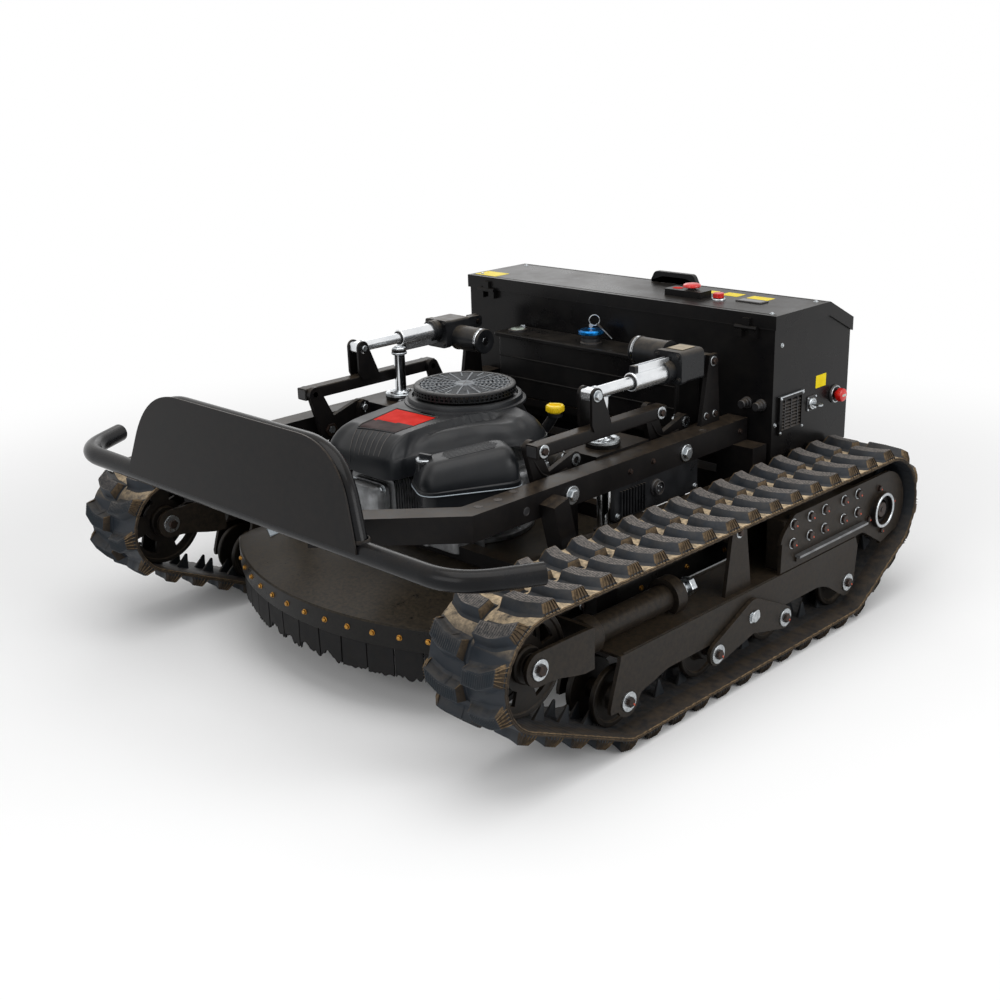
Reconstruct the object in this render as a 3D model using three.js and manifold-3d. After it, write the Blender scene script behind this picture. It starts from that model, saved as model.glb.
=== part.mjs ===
// A remote control slope mower: two rubber tracks, a lifting mower deck with its engine, and a control box.
// Millimetres. +Z is up, -Y is the front of the machine, the origin lies under the middle of the outline.

import * as THREE from 'three';
import { mergeVertices } from 'three/addons/utils/BufferGeometryUtils.js';
import Module from 'manifold-3d';

const wasm = await Module();
wasm.setup();

// Driving dimensions. Places along Y are counted from the machine's own datum plane behind the idlers.

const fit = 0.3;            // gap between pieces that touch or turn on each other
const overrun = 5;          // how far a cutting tool runs past what it cuts
const bite = 1;             // how far joined pieces sink into each other
const rightAngle = Math.PI / 2;
const roundSides = 12;
const capSides = 10;
const smallSides = 8;
const tubeSides = 10;
const bendSteps = 4;

const track = {
  centreX: 545,
  width: 180,
  pitch: 72,
  carcass: 8,
  lugHeight: 20,
  lugLength: 32,
  lugKink: 9,
  grooveHalf: 5,
  edgeMargin: 2,
  sink: 2,
  fingerInner: 12,
  fingerOuter: 20,
  fingerLength: 30,
  fingerHeight: 32,
};
const lugTopShare = 0.72;
const lugPlaceShares = { right: 0.25, left: 0.75 };   // the two rows of lugs are staggered by half a pitch
const arcStep = Math.PI / 11;

const wheel = {
  radius: 60,
  rimInner: 21.3,
  rimOuter: 34,
  hubRadius: 21,
  bore: 10.4,
  axle: 10,
  bogieLift: 4.5,
  y: [26, 282, 510, 763],
};
const idler = {
  y: -203, z: 234, hub: 34, hubHalf: 44, bore: 12.5, axle: 12, slotInner: 48, slotOuter: 74, slots: 4,
};
const slotAngleShare = 0.5;
const idlerSides = 18;
const sprocket = {
  y: 885, z: 221, radius: 110, teeth: 10, toothDepth: 14, discHalf: 10.5,
  hub: 40, hubHalf: 30, shaft: 20, shaftInner: -64, shaftOuter: 80,
};
const toothShares = [0, 0.22, 0.36, 0.64, 0.78];

const frame = {
  halfWidth: 65, plate: 8, beamTop: 183, beamBottom: 112, front: 5, rearGap: 30, lidGap: 56,
  legFront: -23, legFoot: 58, legWidth: 58, legTop: 100, legRun: 58,
  rearLegStart: 645, rearLegFoot: 735, capRadius: 19, capHeight: 5, boltRadius: 7, boltHeight: 5,
};
const backing = { y0: 520, y1: 806, top: 290, inner: 18 };
const bogie = { y: 400, z: 131, plate: 8, gap: 1.5, eyeRadius: 24, pivotEye: 36, pin: 12 };
const fork = { nose: 31, rear: -65, low: 185, high: 263, backPlate: 8, rod: 15, rodReach: 60 };
const cylinder = {
  z: 212, front: -2, rear: 235, barrel: 26, collarFront: -34, collar: 36, boreDepth: 130,
  clampFront: 205, clamp: 38, boltEnd: 292, bolt: 11, hex: 19, hexLength: 22,
};
const carrier = {
  y: 380, radius: 26, inner: 22, outer: 38, axle: 8, bracketInner: 41, bracket: 8, foot: 87, head: 44,
};
const rearPlate = {
  front: 499, top: 300, foot: 186, cornerY: 545, cornerZ: 258, roundY: 905, roundZ: 217, round: 83,
  tipY: 905, tipZ: 137, notchY: 820, ring: 46, ringWidth: 18, ringBore: 21,
  ledgeY0: 553, ledgeY1: 818, ledgeZ: 198, ledge: 14, ledgeWidth: 12, bolt: 10, boltHeight: 7,
  rows: [281, 240], columns: [542, 605, 659, 733, 789],
};
const driveMotor = { radius: 54, length: 140, flange: 64, flangeWidth: 14, gearRadius: 42, gearLength: 50 };

const rail = {
  tube: 50, centreX: 370, bottom: 383, front: -126, rear: 687, frontEnd: -322,
  lowerX: 421, lowerTop: 315, lowerFront: 40, lowerRear: 812,
};
const brace = { tube: 40, topY: 52, topZ: 415, footY: 82, footZ: 300, x: 412 };
const cross = { midY: 660, rearY: 785, padHeight: 15, padPitch: 50 };
const hanger = { low: 118, width: 60, frontY: 122, rearY: 590 };
const guide = {
  x: 302, post: 12.5, bore: 12.9, plateZ: 430, plate: 8, boss: 35, bossHeight: 14,
  plateInner: 258, plateAhead: 70, plateBehind: 92, top: 547, cap: 17, capHeight: 9,
};
const guidePlaceShare = 0.57;   // the posts' place between the front and the rear pivot

const guard = {
  lowHalf: 352, lowY: -340, lowZ: 414, highHalf: 290, highY: -318, highZ: 588, corner: 105, plate: 4,
  tube: 17, setBack: 19,
};
const bumper = { tube: 19, bendX: 566, endX: 636, endY: -213, bend: 70 };

// The lift: bell cranks on the rails carry the deck, and an electric cylinder on each side pushes them.
const lift = {
  travel: 70, topArm: 91.5, lean: 21.8 * Math.PI / 180, frontPivotY: 121, pivotSpan: 349, pivotZ: 405,
  plateX: 316, plate: 12, pivotEye: 24, armEye: 16, pin: 7, pinPlay: 0.8, pivotPin: 9, pivotPlay: 0.6,
  washer: 18, washerHeight: 4, head: 13, headHeight: 7, pinReach: 20,
};
const lowerArm = lift.travel / (2 * Math.sin(lift.lean));
const guideY = lift.frontPivotY + lift.pivotSpan * guidePlaceShare;
const tie = {
  x: 343, width: 30, height: 26, overhang: 17, earY: 234, earZ: 566,
  ear: 6, earEye: 15, earFoot: 44, earGap: 13.3,
};
const actuator = {
  pinY: 606, rod: 12, tube: 19, tubeFront: 356, tubeRear: 474, boreDepth: 112, play: 0.6, rodEnd: 386,
  collar: 24, collarLength: 22, blockFront: 474, blockRear: 550, blockLow: -24, blockHigh: 42, blockHalf: 36,
  motorY: 520, motorRise: 21, motor: 30, motorEnd: 224, ribWidth: 14, ribHeight: 12, ribSink: 2,
  eye: 14, eyeHalf: 8, pin: 6,
};
const gusset = { plate: 10, front: 566, rear: 632, headFront: 592, headRear: 620, play: 0.5 };
const carriage = {
  bar: 30, x: 320, barWidth: 40, front: 180, tail: 12.5, crossFront: 62, crossRear: 430,
  lug: 10, lugHalf: 22, lugHead: 16,
};

const deck = {
  top: 228, rim: 190, bottom: 144, front: -218, arcRadius: 678, arcHalf: 405, sideHalf: 418, sideStep: 44,
  rear: 640, sheet: 4, plateauX: 275, plateauY: 215, plateauCentreY: 250, engineHole: 45,
};
const plateauShares = { front: 1, rear: 1.1 };
const deckArcY = deck.front + deck.arcRadius;
const skirt = {
  gap: 1.4, low: 78, high: 180, sheet: 5, slitTop: 140, slit: 3, slitPitch: 62, halfAngle: 0.56,
};
const blade = { length: 760, width: 62, sheet: 6, z: 160, shaft: 14, disc: 60, discHeight: 5, wing: 90 };

const engine = {
  y: 234, caseRadius: 112, baseFlange: 140, flangeHeight: 12, caseTop: 424,
  barrelLow: 322, barrelHigh: 418, barrelWidth: 120, forwardX: 38, forwardEnd: -62, sideY: 205, sideEnd: 205,
  coverLength: 26, coverMargin: 12, fins: 3, fin: 5, finProud: 6,
  intakeX: 196, intakeY: 18, intake: 70, shaftBore: 16, shaftDepth: 90, housing: 84,
};
const cowl = {
  left: -138, front: -88, width: 368, length: 456, bottom: 426, shoulder: 458, brow: 488, top: 502, wall: 4,
  ring: 120, ringTop: 516, hole: 14, stepX: 152, stepY: 130, stepZ: 458,
};
const screen = {
  radius: 107, bottom: 519, top: 537, shaft: 12, shaftEnd: 455, holeInner: 34, holeOuter: 94, holes: 12,
};
const holeWidthShare = 0.62;
const filter = {
  x: 230, y: 10, turn: -0.52, length: 200, width: 112, bottom: 393, seam: 420, brow: 458, top: 484,
  slope: 0.13, round: 34,
  knob: 14, knobTop: 476, shoulder: 7,
};
const oil = {
  x: 150, y: 347, capBottom: 474, capTop: 494, cap: 16, neck: 11, footX: 88, footY: 302, footZ: 360,
};
const muffler = { y: 448, z: 316, radius: 48, halfLength: 150, pipe: 16 };

const tank = {
  halfWidth: 276, front: 598, rear: 692, bottom: 400, top: 549, lip: 8, lipHeight: 10,
  neck: 22, neckHeight: 12, capX: -8, gaugeX: -240,
};
const fuelCap = { radius: 29, height: 20, skirt: 4 };

const box = {
  halfWidth: 450, front: 696, rear: 995, bottom: 330, wall: 4, flatTop: 652, ridge: 900, eaves: 603,
  lidSheet: 4, lidSkirt: 26, hingeY: 686, knuckle: 5, knuckleWidth: 18, hingeX: 384, leaf: 20,
  ventY: 762, ventZ: 438, ventWidth: 92, ventHeight: 84, ventFrame: 8, ventProud: 5,
};
const handle = { x: 47, y: 884, half: 67, bar: 12, rise: 26, foot: 22 };
const stopSwitch = {
  x: 165, y: 776, base: 98, baseWidth: 42, baseHeight: 14, capX: 176, cap: 20, capHeight: 10,
  stem: 9, travel: 5,
};
const pushButton = { x: 247, y: 778, cap: 12, capHeight: 11, stem: 6, travel: 4 };
const sideStop = { y: 941, z: 443, ring: 19, ringWidth: 6, cap: 15, capWidth: 20, stem: 8, travel: 5 };
const keySwitch = {
  y: 847, z: 440, ring: 12, ringWidth: 6, barrel: 8, barrelWidth: 12, bow: 22, bowWidth: 4, bowHeight: 16,
};
const battery = { halfWidth: 160, front: 730, rear: 900, height: 175 };

// Materials: colour, roughness and metalness of each finish on the machine.

const finish = (color, roughness, metalness) => new THREE.MeshStandardMaterial({ color, roughness, metalness });
const blackPaint = () => finish('#1b1c1e', 0.42, 0.3);
const trackRubber = () => finish('#3a3632', 0.9, 0);
const blackPlastic = () => finish('#26282b', 0.55, 0);
const silverMetal = () => finish('#b9bcc0', 0.35, 0.9);
const bareSteel = () => finish('#8f9398', 0.4, 0.9);
const castMetal = () => finish('#83868a', 0.5, 0.8);
const redPlastic = () => finish('#c41f1c', 0.4, 0);
const yellowPlastic = () => finish('#e3cf1e', 0.45, 0);
const blueAnodised = () => finish('#1567a0', 0.3, 0.8);

// Solid modelling helpers. Each shape is a closed three.js geometry.

function solidOf(geometry) {
  const bare = geometry.clone();
  bare.deleteAttribute('normal');
  bare.deleteAttribute('uv');
  const merged = mergeVertices(bare, 1e-4);
  const vertProperties = new Float32Array(merged.attributes.position.array);
  const triVerts = new Uint32Array(merged.index.array);
  return new wasm.Manifold(new wasm.Mesh({ numProp: 3, vertProperties, triVerts }));
}

function geometryOf(solid) {
  const mesh = solid.getMesh();
  const geometry = new THREE.BufferGeometry();
  geometry.setAttribute('position', new THREE.BufferAttribute(new Float32Array(mesh.vertProperties), 3));
  geometry.setIndex(new THREE.BufferAttribute(new Uint32Array(mesh.triVerts), 1));
  return geometry;
}

function join(pieces) {
  const [first, ...rest] = pieces.map(solidOf);
  return geometryOf(rest.reduce((whole, piece) => whole.add(piece), first));
}

function cut(body, tools) {
  return geometryOf(tools.map(solidOf).reduce((whole, tool) => whole.subtract(tool), solidOf(body)));
}

// A block between two opposite corners.
function block([x0, y0, z0], [x1, y1, z1]) {
  const geometry = new THREE.BoxGeometry(x1 - x0, y1 - y0, z1 - z0);
  return geometry.translate((x0 + x1) / 2, (y0 + y1) / 2, (z0 + z1) / 2);
}

// A round bar along one axis, from one end to the other.
function bar(axis, radius, from, to, centre, sides = roundSides) {
  const geometry = new THREE.CylinderGeometry(radius, radius, Math.abs(to - from), sides);
  const middle = (from + to) / 2;
  if (axis === 'x') return geometry.rotateZ(rightAngle).translate(middle, centre[0], centre[1]);
  if (axis === 'y') return geometry.translate(centre[0], middle, centre[1]);
  return geometry.rotateX(rightAngle).translate(centre[0], centre[1], middle);
}

// A straight bar between any two points.
function strut(from, to, width, depth) {
  const start = new THREE.Vector3(...from);
  const end = new THREE.Vector3(...to);
  const geometry = new THREE.BoxGeometry(width, depth, start.distanceTo(end));
  const direction = end.clone().sub(start).normalize();
  geometry.applyQuaternion(new THREE.Quaternion().setFromUnitVectors(new THREE.Vector3(0, 0, 1), direction));
  const middle = start.add(end).multiplyScalar(0.5);
  return geometry.translate(middle.x, middle.y, middle.z);
}

function roundStrut(from, to, radius, sides = smallSides) {
  const start = new THREE.Vector3(...from);
  const end = new THREE.Vector3(...to);
  const geometry = new THREE.CylinderGeometry(radius, radius, start.distanceTo(end), sides);
  const direction = end.clone().sub(start).normalize();
  geometry.applyQuaternion(new THREE.Quaternion().setFromUnitVectors(new THREE.Vector3(0, 1, 0), direction));
  const middle = start.add(end).multiplyScalar(0.5);
  return geometry.translate(middle.x, middle.y, middle.z);
}

function shapeOf(points, holes = []) {
  const shape = new THREE.Shape(points.map(([a, b]) => new THREE.Vector2(a, b)));
  for (const hole of holes) shape.holes.push(new THREE.Path(hole.map(([a, b]) => new THREE.Vector2(a, b))));
  return shape;
}

// A flat plate whose outline is drawn in the YZ plane, standing between two places along X.
function sidePlate(outline, x0, x1, holes = []) {
  const geometry = new THREE.ExtrudeGeometry(shapeOf(outline, holes), { depth: x1 - x0, bevelEnabled: false });
  const turn = new THREE.Matrix4().set(0, 0, 1, x0, 1, 0, 0, 0, 0, 1, 0, 0, 0, 0, 0, 1);
  return geometry.applyMatrix4(turn);
}

// A flat plate whose outline is drawn in the XY plane, lying between two heights.
function flatPlate(outline, z0, z1, holes = []) {
  const geometry = new THREE.ExtrudeGeometry(shapeOf(outline, holes), { depth: z1 - z0, bevelEnabled: false });
  return geometry.translate(0, 0, z0);
}

function circlePoints(radius, sides = roundSides, centre = [0, 0], start = 0) {
  const points = [];
  for (let i = 0; i < sides; i += 1) {
    const angle = start + (2 * Math.PI * i) / sides;
    points.push([centre[0] + radius * Math.cos(angle), centre[1] + radius * Math.sin(angle)]);
  }
  return points;
}

function arcPoints(centre, radius, from, to, steps) {
  const points = [];
  for (let i = 0; i <= steps; i += 1) {
    const angle = from + ((to - from) * i) / steps;
    points.push([centre[0] + radius * Math.cos(angle), centre[1] + radius * Math.sin(angle)]);
  }
  return points;
}

// The outline of a bar with round ends, one end larger than the other.
function linkOutline(a, radiusA, b, radiusB, steps = 4) {
  const along = Math.atan2(b[1] - a[1], b[0] - a[0]);
  const spread = Math.acos((radiusA - radiusB) / Math.hypot(b[0] - a[0], b[1] - a[1]));
  return [
    ...arcPoints(b, radiusB, along - spread, along + spread, steps),
    ...arcPoints(a, radiusA, along + spread, along + 2 * Math.PI - spread, steps),
  ];
}

// A turned piece: its profile runs from the axis back to the axis, or closes on itself, and turns about X.
function turned(profile, sides = roundSides) {
  const points = profile.map(([radius, x]) => new THREE.Vector2(radius, x));
  return new THREE.LatheGeometry(points, sides).rotateZ(-rightAngle);
}

// A closed solid through rings of equally many points, with a way to cover the first and the last ring.
function loft(rings, cover) {
  const count = rings[0].length;
  const positions = rings.flat(2);
  const index = [];
  for (let level = 0; level < rings.length - 1; level += 1) {
    for (let i = 0; i < count; i += 1) {
      const next = (i + 1) % count;
      const low = level * count;
      const high = low + count;
      index.push(low + i, low + next, high + next, low + i, high + next, high + i);
    }
  }
  const last = (rings.length - 1) * count;
  for (const [a, b, c] of cover(rings[0])) index.push(a, c, b);
  for (const [a, b, c] of cover(rings[rings.length - 1])) index.push(last + a, last + b, last + c);
  const geometry = new THREE.BufferGeometry();
  geometry.setAttribute('position', new THREE.Float32BufferAttribute(positions, 3));
  geometry.setIndex(index);
  return geometry;
}

const raise = (outline, z) => outline.map(([x, y]) => [x, y, z]);

// Level rings stacked one above the other, lowest first.
function stacked(rings) {
  const flat = (ring) => ring.map(([x, y]) => new THREE.Vector2(x, y));
  return loft(rings, (ring) => THREE.ShapeUtils.triangulateShape(flat(ring), []));
}

// The middle line of a tube: straight runs joined by bends.
function bentLine(points, bend) {
  const corners = points.map((point) => new THREE.Vector3(...point));
  const line = [corners[0]];
  for (let i = 1; i < corners.length - 1; i += 1) {
    const before = corners[i].clone().add(corners[i - 1].clone().sub(corners[i]).setLength(bend));
    const after = corners[i].clone().add(corners[i + 1].clone().sub(corners[i]).setLength(bend));
    line.push(...new THREE.QuadraticBezierCurve3(before, corners[i], after).getPoints(bendSteps));
  }
  return [...line, corners[corners.length - 1]];
}

// A tube along a line that lies in one plane; its rings are mitred where the line turns.
function bentTube(points, bend, radius, sides = tubeSides) {
  const line = bentLine(points, bend);
  const directions = line.slice(1).map((point, i) => point.clone().sub(line[i]).normalize());
  const axis = new THREE.Vector3().crossVectors(directions[0], directions[directions.length - 1]).normalize();
  const rings = line.map((point, i) => {
    const before = directions[Math.max(i - 1, 0)];
    const after = directions[Math.min(i, directions.length - bite)];
    const outward = new THREE.Vector3().crossVectors(before.clone().add(after).normalize(), axis);
    const stretch = 1 / Math.cos(before.angleTo(after) / 2);
    return circlePoints(radius, sides, [0, 0], Math.PI / sides).map(([a, b]) => point.clone()
      .addScaledVector(outward, a * stretch).addScaledVector(axis, -b).toArray());
  });
  return loft(rings, (ring) => ring.slice(2).map((point, i) => [0, i + 1, i + 2]));
}

function mirrored(geometry) {
  const copy = geometry.index ? geometry.clone() : mergeVertices(geometry);
  copy.scale(-1, 1, 1);
  const index = copy.index.array;
  for (let i = 0; i < index.length; i += 3) [index[i], index[i + 1]] = [index[i + 1], index[i]];
  return copy;
}

const mower = new THREE.Group();
const machine = new THREE.Group();
mower.add(machine);

function add(name, geometry, material, position = [0, 0, 0], parent = machine) {
  const mesh = new THREE.Mesh(geometry, material);
  mesh.name = name;
  mesh.position.set(...position);
  parent.add(mesh);
  return mesh;
}

// Adds a piece on the right side and its mirror image on the left.
function addPair(name, geometry, makeMaterial, position = [0, 0, 0]) {
  add(`${name}_right`, geometry, makeMaterial(), position);
  add(`${name}_left`, mirrored(geometry), makeMaterial(), [-position[0], position[1], position[2]]);
}

// The belt's path in the YZ plane: straight runs, and arcs round the idler, the sprocket and the end wheels.

const wheelZ = wheel.radius + track.carcass + track.lugHeight;
const topRun = sprocket.z + sprocket.radius;
const idlerRadius = topRun - idler.z;
const beltCircles = [
  { centre: [wheel.y[0], wheelZ], radius: wheel.radius },
  { centre: [wheel.y[3], wheelZ], radius: wheel.radius },
  { centre: [sprocket.y, sprocket.z], radius: sprocket.radius },
  { centre: [idler.y, idler.z], radius: idlerRadius },
];

function tangentAngle(a, b) {
  const along = Math.atan2(b.centre[1] - a.centre[1], b.centre[0] - a.centre[0]);
  const apart = Math.hypot(b.centre[0] - a.centre[0], b.centre[1] - a.centre[1]);
  const lean = Math.asin((a.radius - b.radius) / apart);
  return along - rightAngle + lean;
}

function beltRuns(offset) {
  const runs = [];
  const count = beltCircles.length;
  for (let i = 0; i < count; i += 1) {
    const here = beltCircles[i];
    const from = tangentAngle(beltCircles[(i + count - 1) % count], here);
    let to = tangentAngle(here, beltCircles[(i + 1) % count]);
    while (to < from) to += 2 * Math.PI;
    const radius = here.radius + offset;
    runs.push({ kind: 'arc', centre: here.centre, radius, from, to, length: radius * (to - from) });
    const next = beltCircles[(i + 1) % count];
    const start = [here.centre[0] + radius * Math.cos(to), here.centre[1] + radius * Math.sin(to)];
    const reach = next.radius + offset;
    const end = [next.centre[0] + reach * Math.cos(to), next.centre[1] + reach * Math.sin(to)];
    runs.push({ kind: 'line', start, end, angle: to, length: Math.hypot(end[0] - start[0], end[1] - start[1]) });
  }
  return runs;
}

// The place on the belt at a distance along it, with the angle of its outward normal.
function beltPlace(runs, distance) {
  let rest = distance;
  for (const run of runs) {
    if (rest > run.length) {
      rest -= run.length;
    } else if (run.kind === 'line') {
      const share = rest / run.length;
      const [a, b] = [run.start, run.end];
      return { y: a[0] + (b[0] - a[0]) * share, z: a[1] + (b[1] - a[1]) * share, angle: run.angle };
    } else {
      const angle = run.from + rest / run.radius;
      const [y, z] = run.centre;
      return { y: y + run.radius * Math.cos(angle), z: z + run.radius * Math.sin(angle), angle };
    }
  }
  return beltPlace(runs, rest);
}

function beltOutline(offset) {
  const points = [];
  for (const run of beltRuns(offset)) {
    if (run.kind === 'line') continue;
    const steps = Math.max(1, Math.ceil((run.to - run.from) / arcStep));
    const step = (run.to - run.from) / steps;
    const radius = run.radius / Math.cos(step / 2);
    const onArc = (angle) => arcPoints(run.centre, run.radius, angle, angle, 1)[0];
    points.push(onArc(run.from));
    points.push(...arcPoints(run.centre, radius, run.from + step / 2, run.to - step / 2, steps - 1 || 1));
    points.push(onArc(run.to));
  }
  return points;
}

// Stands a piece drawn with +Z outward and +Y along the belt on the belt's surface.
function onBelt(geometry, place) {
  const normal = new THREE.Vector3(0, Math.cos(place.angle), Math.sin(place.angle));
  const along = new THREE.Vector3(0, -Math.sin(place.angle), Math.cos(place.angle));
  const across = new THREE.Vector3().crossVectors(along, normal);
  const matrix = new THREE.Matrix4().makeBasis(across, along, normal);
  matrix.setPosition(0, place.y, place.z);
  return geometry.clone().applyMatrix4(matrix);
}

// A dog-leg lug: a bar across one half of the belt, kinked at its middle and narrower at its top.
function lug(side) {
  const half = track.width / 2 - track.edgeMargin;
  const middle = (track.grooveHalf + half) / 2;
  const ring = (length, z) => {
    const points = [
      [track.grooveHalf, -track.lugKink - length / 2],
      [middle, -track.lugKink - length / 2],
      [half, track.lugKink - length / 2],
      [half, track.lugKink + length / 2],
      [middle, -track.lugKink + length / 2],
      [track.grooveHalf, -track.lugKink + length / 2],
    ];
    const sided = side > 0 ? points : points.map(([x, y]) => [-x, y]).reverse();
    return raise(sided, z);
  };
  return stacked([ring(track.lugLength, -track.sink), ring(track.lugLength * lugTopShare, track.lugHeight)]);
}

// A pointed guide finger on the inside of the belt.
function finger(side) {
  const middle = (side * (track.fingerInner + track.fingerOuter)) / 2;
  const half = (track.fingerOuter - track.fingerInner) / 2;
  const height = track.fingerHeight + track.sink;
  const pyramid = new THREE.ConeGeometry(1, height, 4, 1, false, rightAngle / 2).rotateX(-rightAngle);
  pyramid.scale(half * Math.SQRT2, (track.fingerLength / 2) * Math.SQRT2, 1);
  return pyramid.translate(middle, 0, track.sink - height / 2);
}

// The whole belt. The lugs about to leave the ground are pressed flat on it.
function trackBelt() {
  const carcass = sidePlate(beltOutline(track.carcass), -track.width / 2, track.width / 2, [beltOutline(0)]);
  const outerRuns = beltRuns(track.carcass);
  const innerRuns = beltRuns(0);
  const total = (runs) => runs.reduce((sum, run) => sum + run.length, 0);
  const pitches = Math.round(total(beltRuns(track.carcass / 2)) / track.pitch);
  const pieces = [carcass];
  for (let i = 0; i < pitches; i += 1) {
    for (const side of [1, -1]) {
      const share = (i + (side > 0 ? lugPlaceShares.right : lugPlaceShares.left)) / pitches;
      pieces.push(onBelt(lug(side), beltPlace(outerRuns, share * total(outerRuns))));
      pieces.push(onBelt(finger(side), beltPlace(innerRuns, ((i + 0.5) / pitches) * total(innerRuns))));
    }
  }
  const ground = block([-track.width, idler.y, -track.lugHeight], [track.width, sprocket.y, 0]);
  return cut(join(pieces), [ground]);
}

addPair('track', trackBelt(), trackRubber, [track.centreX, 0, 0]);

// Road wheels, idler, sprocket and carrier roller

function roadWheel() {
  const rim = wheel.radius - fit;
  return turned([
    [wheel.bore, -wheel.rimOuter],
    [rim, -wheel.rimOuter],
    [rim, -wheel.rimInner],
    [wheel.hubRadius, -wheel.rimInner],
    [wheel.hubRadius, wheel.rimInner],
    [rim, wheel.rimInner],
    [rim, wheel.rimOuter],
    [wheel.bore, wheel.rimOuter],
    [wheel.bore, -wheel.rimOuter],
  ]);
}

function idlerWheel() {
  const rim = circlePoints(idlerRadius - fit, idlerSides);
  const slots = [];
  for (let i = 0; i < idler.slots; i += 1) {
    const middle = (2 * Math.PI * i) / idler.slots;
    const half = (slotAngleShare * Math.PI) / idler.slots;
    const outer = arcPoints([0, 0], idler.slotOuter, middle - half, middle + half, 2);
    const inner = arcPoints([0, 0], idler.slotInner, middle + half, middle - half, 1);
    slots.push([...outer, ...inner]);
  }
  const discs = [
    sidePlate(rim, wheel.rimInner, wheel.rimOuter, slots),
    sidePlate(rim, -wheel.rimOuter, -wheel.rimInner, slots),
  ];
  const whole = join([...discs, bar('x', idler.hub, -idler.hubHalf, idler.hubHalf, [0, 0])]);
  return cut(whole, [bar('x', idler.bore, -idler.hubHalf - overrun, idler.hubHalf + overrun, [0, 0])]);
}

function driveSprocket() {
  const tip = sprocket.radius - fit;
  const root = tip - sprocket.toothDepth;
  const outline = [];
  for (let i = 0; i < sprocket.teeth; i += 1) {
    const radii = [root, root, tip, tip, root];
    toothShares.forEach((share, k) => {
      const angle = (2 * Math.PI * (i + share)) / sprocket.teeth;
      outline.push([radii[k] * Math.cos(angle), radii[k] * Math.sin(angle)]);
    });
  }
  return join([
    sidePlate(outline, -sprocket.discHalf, sprocket.discHalf),
    bar('x', sprocket.hub, -sprocket.hubHalf, sprocket.hubHalf, [0, 0]),
    bar('x', sprocket.shaft, sprocket.shaftInner, sprocket.shaftOuter, [0, 0]),
  ]);
}

const bogieWheelZ = wheelZ + wheel.bogieLift;
wheel.y.forEach((y, i) => {
  const z = i === 1 || i === 2 ? bogieWheelZ : wheelZ;
  addPair(`road_wheel_${i + 1}`, roadWheel(), blackPaint, [track.centreX, y, z]);
});
addPair('idler_wheel', idlerWheel(), blackPaint, [track.centreX, idler.y, idler.z]);
addPair('drive_sprocket', driveSprocket(), bareSteel, [track.centreX, sprocket.y, sprocket.z]);

const carrierZ = topRun - carrier.radius - fit;
function carrierRoller() {
  return turned([
    [carrier.axle + fit, carrier.inner],
    [carrier.radius, carrier.inner],
    [carrier.radius, carrier.outer],
    [carrier.axle + fit, carrier.outer],
    [carrier.axle + fit, carrier.inner],
  ], roundSides);
}
addPair('carrier_roller', carrierRoller(), blackPaint, [track.centreX, carrier.y, carrierZ]);

// Track frame: a folded channel beam with a leg at each end, its axles, the carrier bracket and a backing block

// A washer and bolt head on the outer face of a plate.
function boltCap(x, centre, cap = frame.capRadius) {
  return [
    bar('x', cap, x, x + frame.capHeight, centre, capSides),
    bar('x', frame.boltRadius, x + frame.capHeight, x + frame.capHeight + frame.boltHeight, centre, 6),
  ];
}

function trackFrame() {
  const [w1, w4] = [wheel.y[0], wheel.y[3]];
  const foot = (y) => arcPoints([y, wheelZ], wheelZ - frame.legFoot, Math.PI, 2 * Math.PI, 4);
  const outline = [
    [frame.front, frame.beamTop],
    [frame.legFront, wheelZ],
    ...foot(w1).slice(1, -1),
    [w1 + frame.legRun, frame.legTop],
    [w1 + frame.legRun + frame.legWidth, frame.beamBottom],
    [frame.rearLegStart, frame.beamBottom],
    [frame.rearLegFoot, wheelZ - frame.capRadius],
    ...foot(w4).slice(2),
    [rearPlate.notchY - frame.rearGap, frame.beamTop],
  ];
  const side = sidePlate([...outline].reverse(), frame.halfWidth - frame.plate, frame.halfWidth);
  const inner = sidePlate([...outline].reverse(), -frame.halfWidth, frame.plate - frame.halfWidth);
  const lid = block(
    [-frame.halfWidth, frame.front, frame.beamTop - frame.plate],
    [frame.halfWidth, rearPlate.notchY - frame.lidGap, frame.beamTop],
  );
  const axles = [w1, w4].flatMap((y) => [
    bar('x', wheel.axle, -frame.halfWidth, frame.halfWidth, [y, wheelZ], capSides),
    ...boltCap(frame.halfWidth, [y, wheelZ]),
  ]);
  const pivot = bar('x', bogie.pin, -frame.halfWidth - bogie.gap - bogie.plate,
    frame.halfWidth + bogie.gap + bogie.plate + frame.capHeight, [bogie.y, bogie.z], capSides);
  const bracket = sidePlate([
    [carrier.y - carrier.foot / 2, frame.beamTop - overrun],
    [carrier.y + carrier.foot / 2, frame.beamTop - overrun],
    [carrier.y + carrier.head / 2, carrierZ + carrier.axle],
    [carrier.y - carrier.head / 2, carrierZ + carrier.axle],
  ], carrier.bracketInner, carrier.bracketInner + carrier.bracket);
  const stub = bar('x', carrier.axle, carrier.inner, carrier.bracketInner + bite, [carrier.y, carrierZ], smallSides);
  const backBlock = block(
    [backing.inner, backing.y0, frame.beamTop - overrun],
    [frame.halfWidth - frame.plate - fit, backing.y1, backing.top],
  );
  const innerPlate = sidePlate(
    rearPlateOutline(frame.beamTop - overrun), -frame.halfWidth, frame.plate - frame.halfWidth);
  const whole = join([side, inner, lid, ...axles, pivot, bracket, stub, backBlock, innerPlate]);
  return cut(whole, [
    bar('x', rearPlate.ringBore, -frame.halfWidth - overrun, -sprocket.hubHalf, [sprocket.y, sprocket.z]),
  ]);
}

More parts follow.
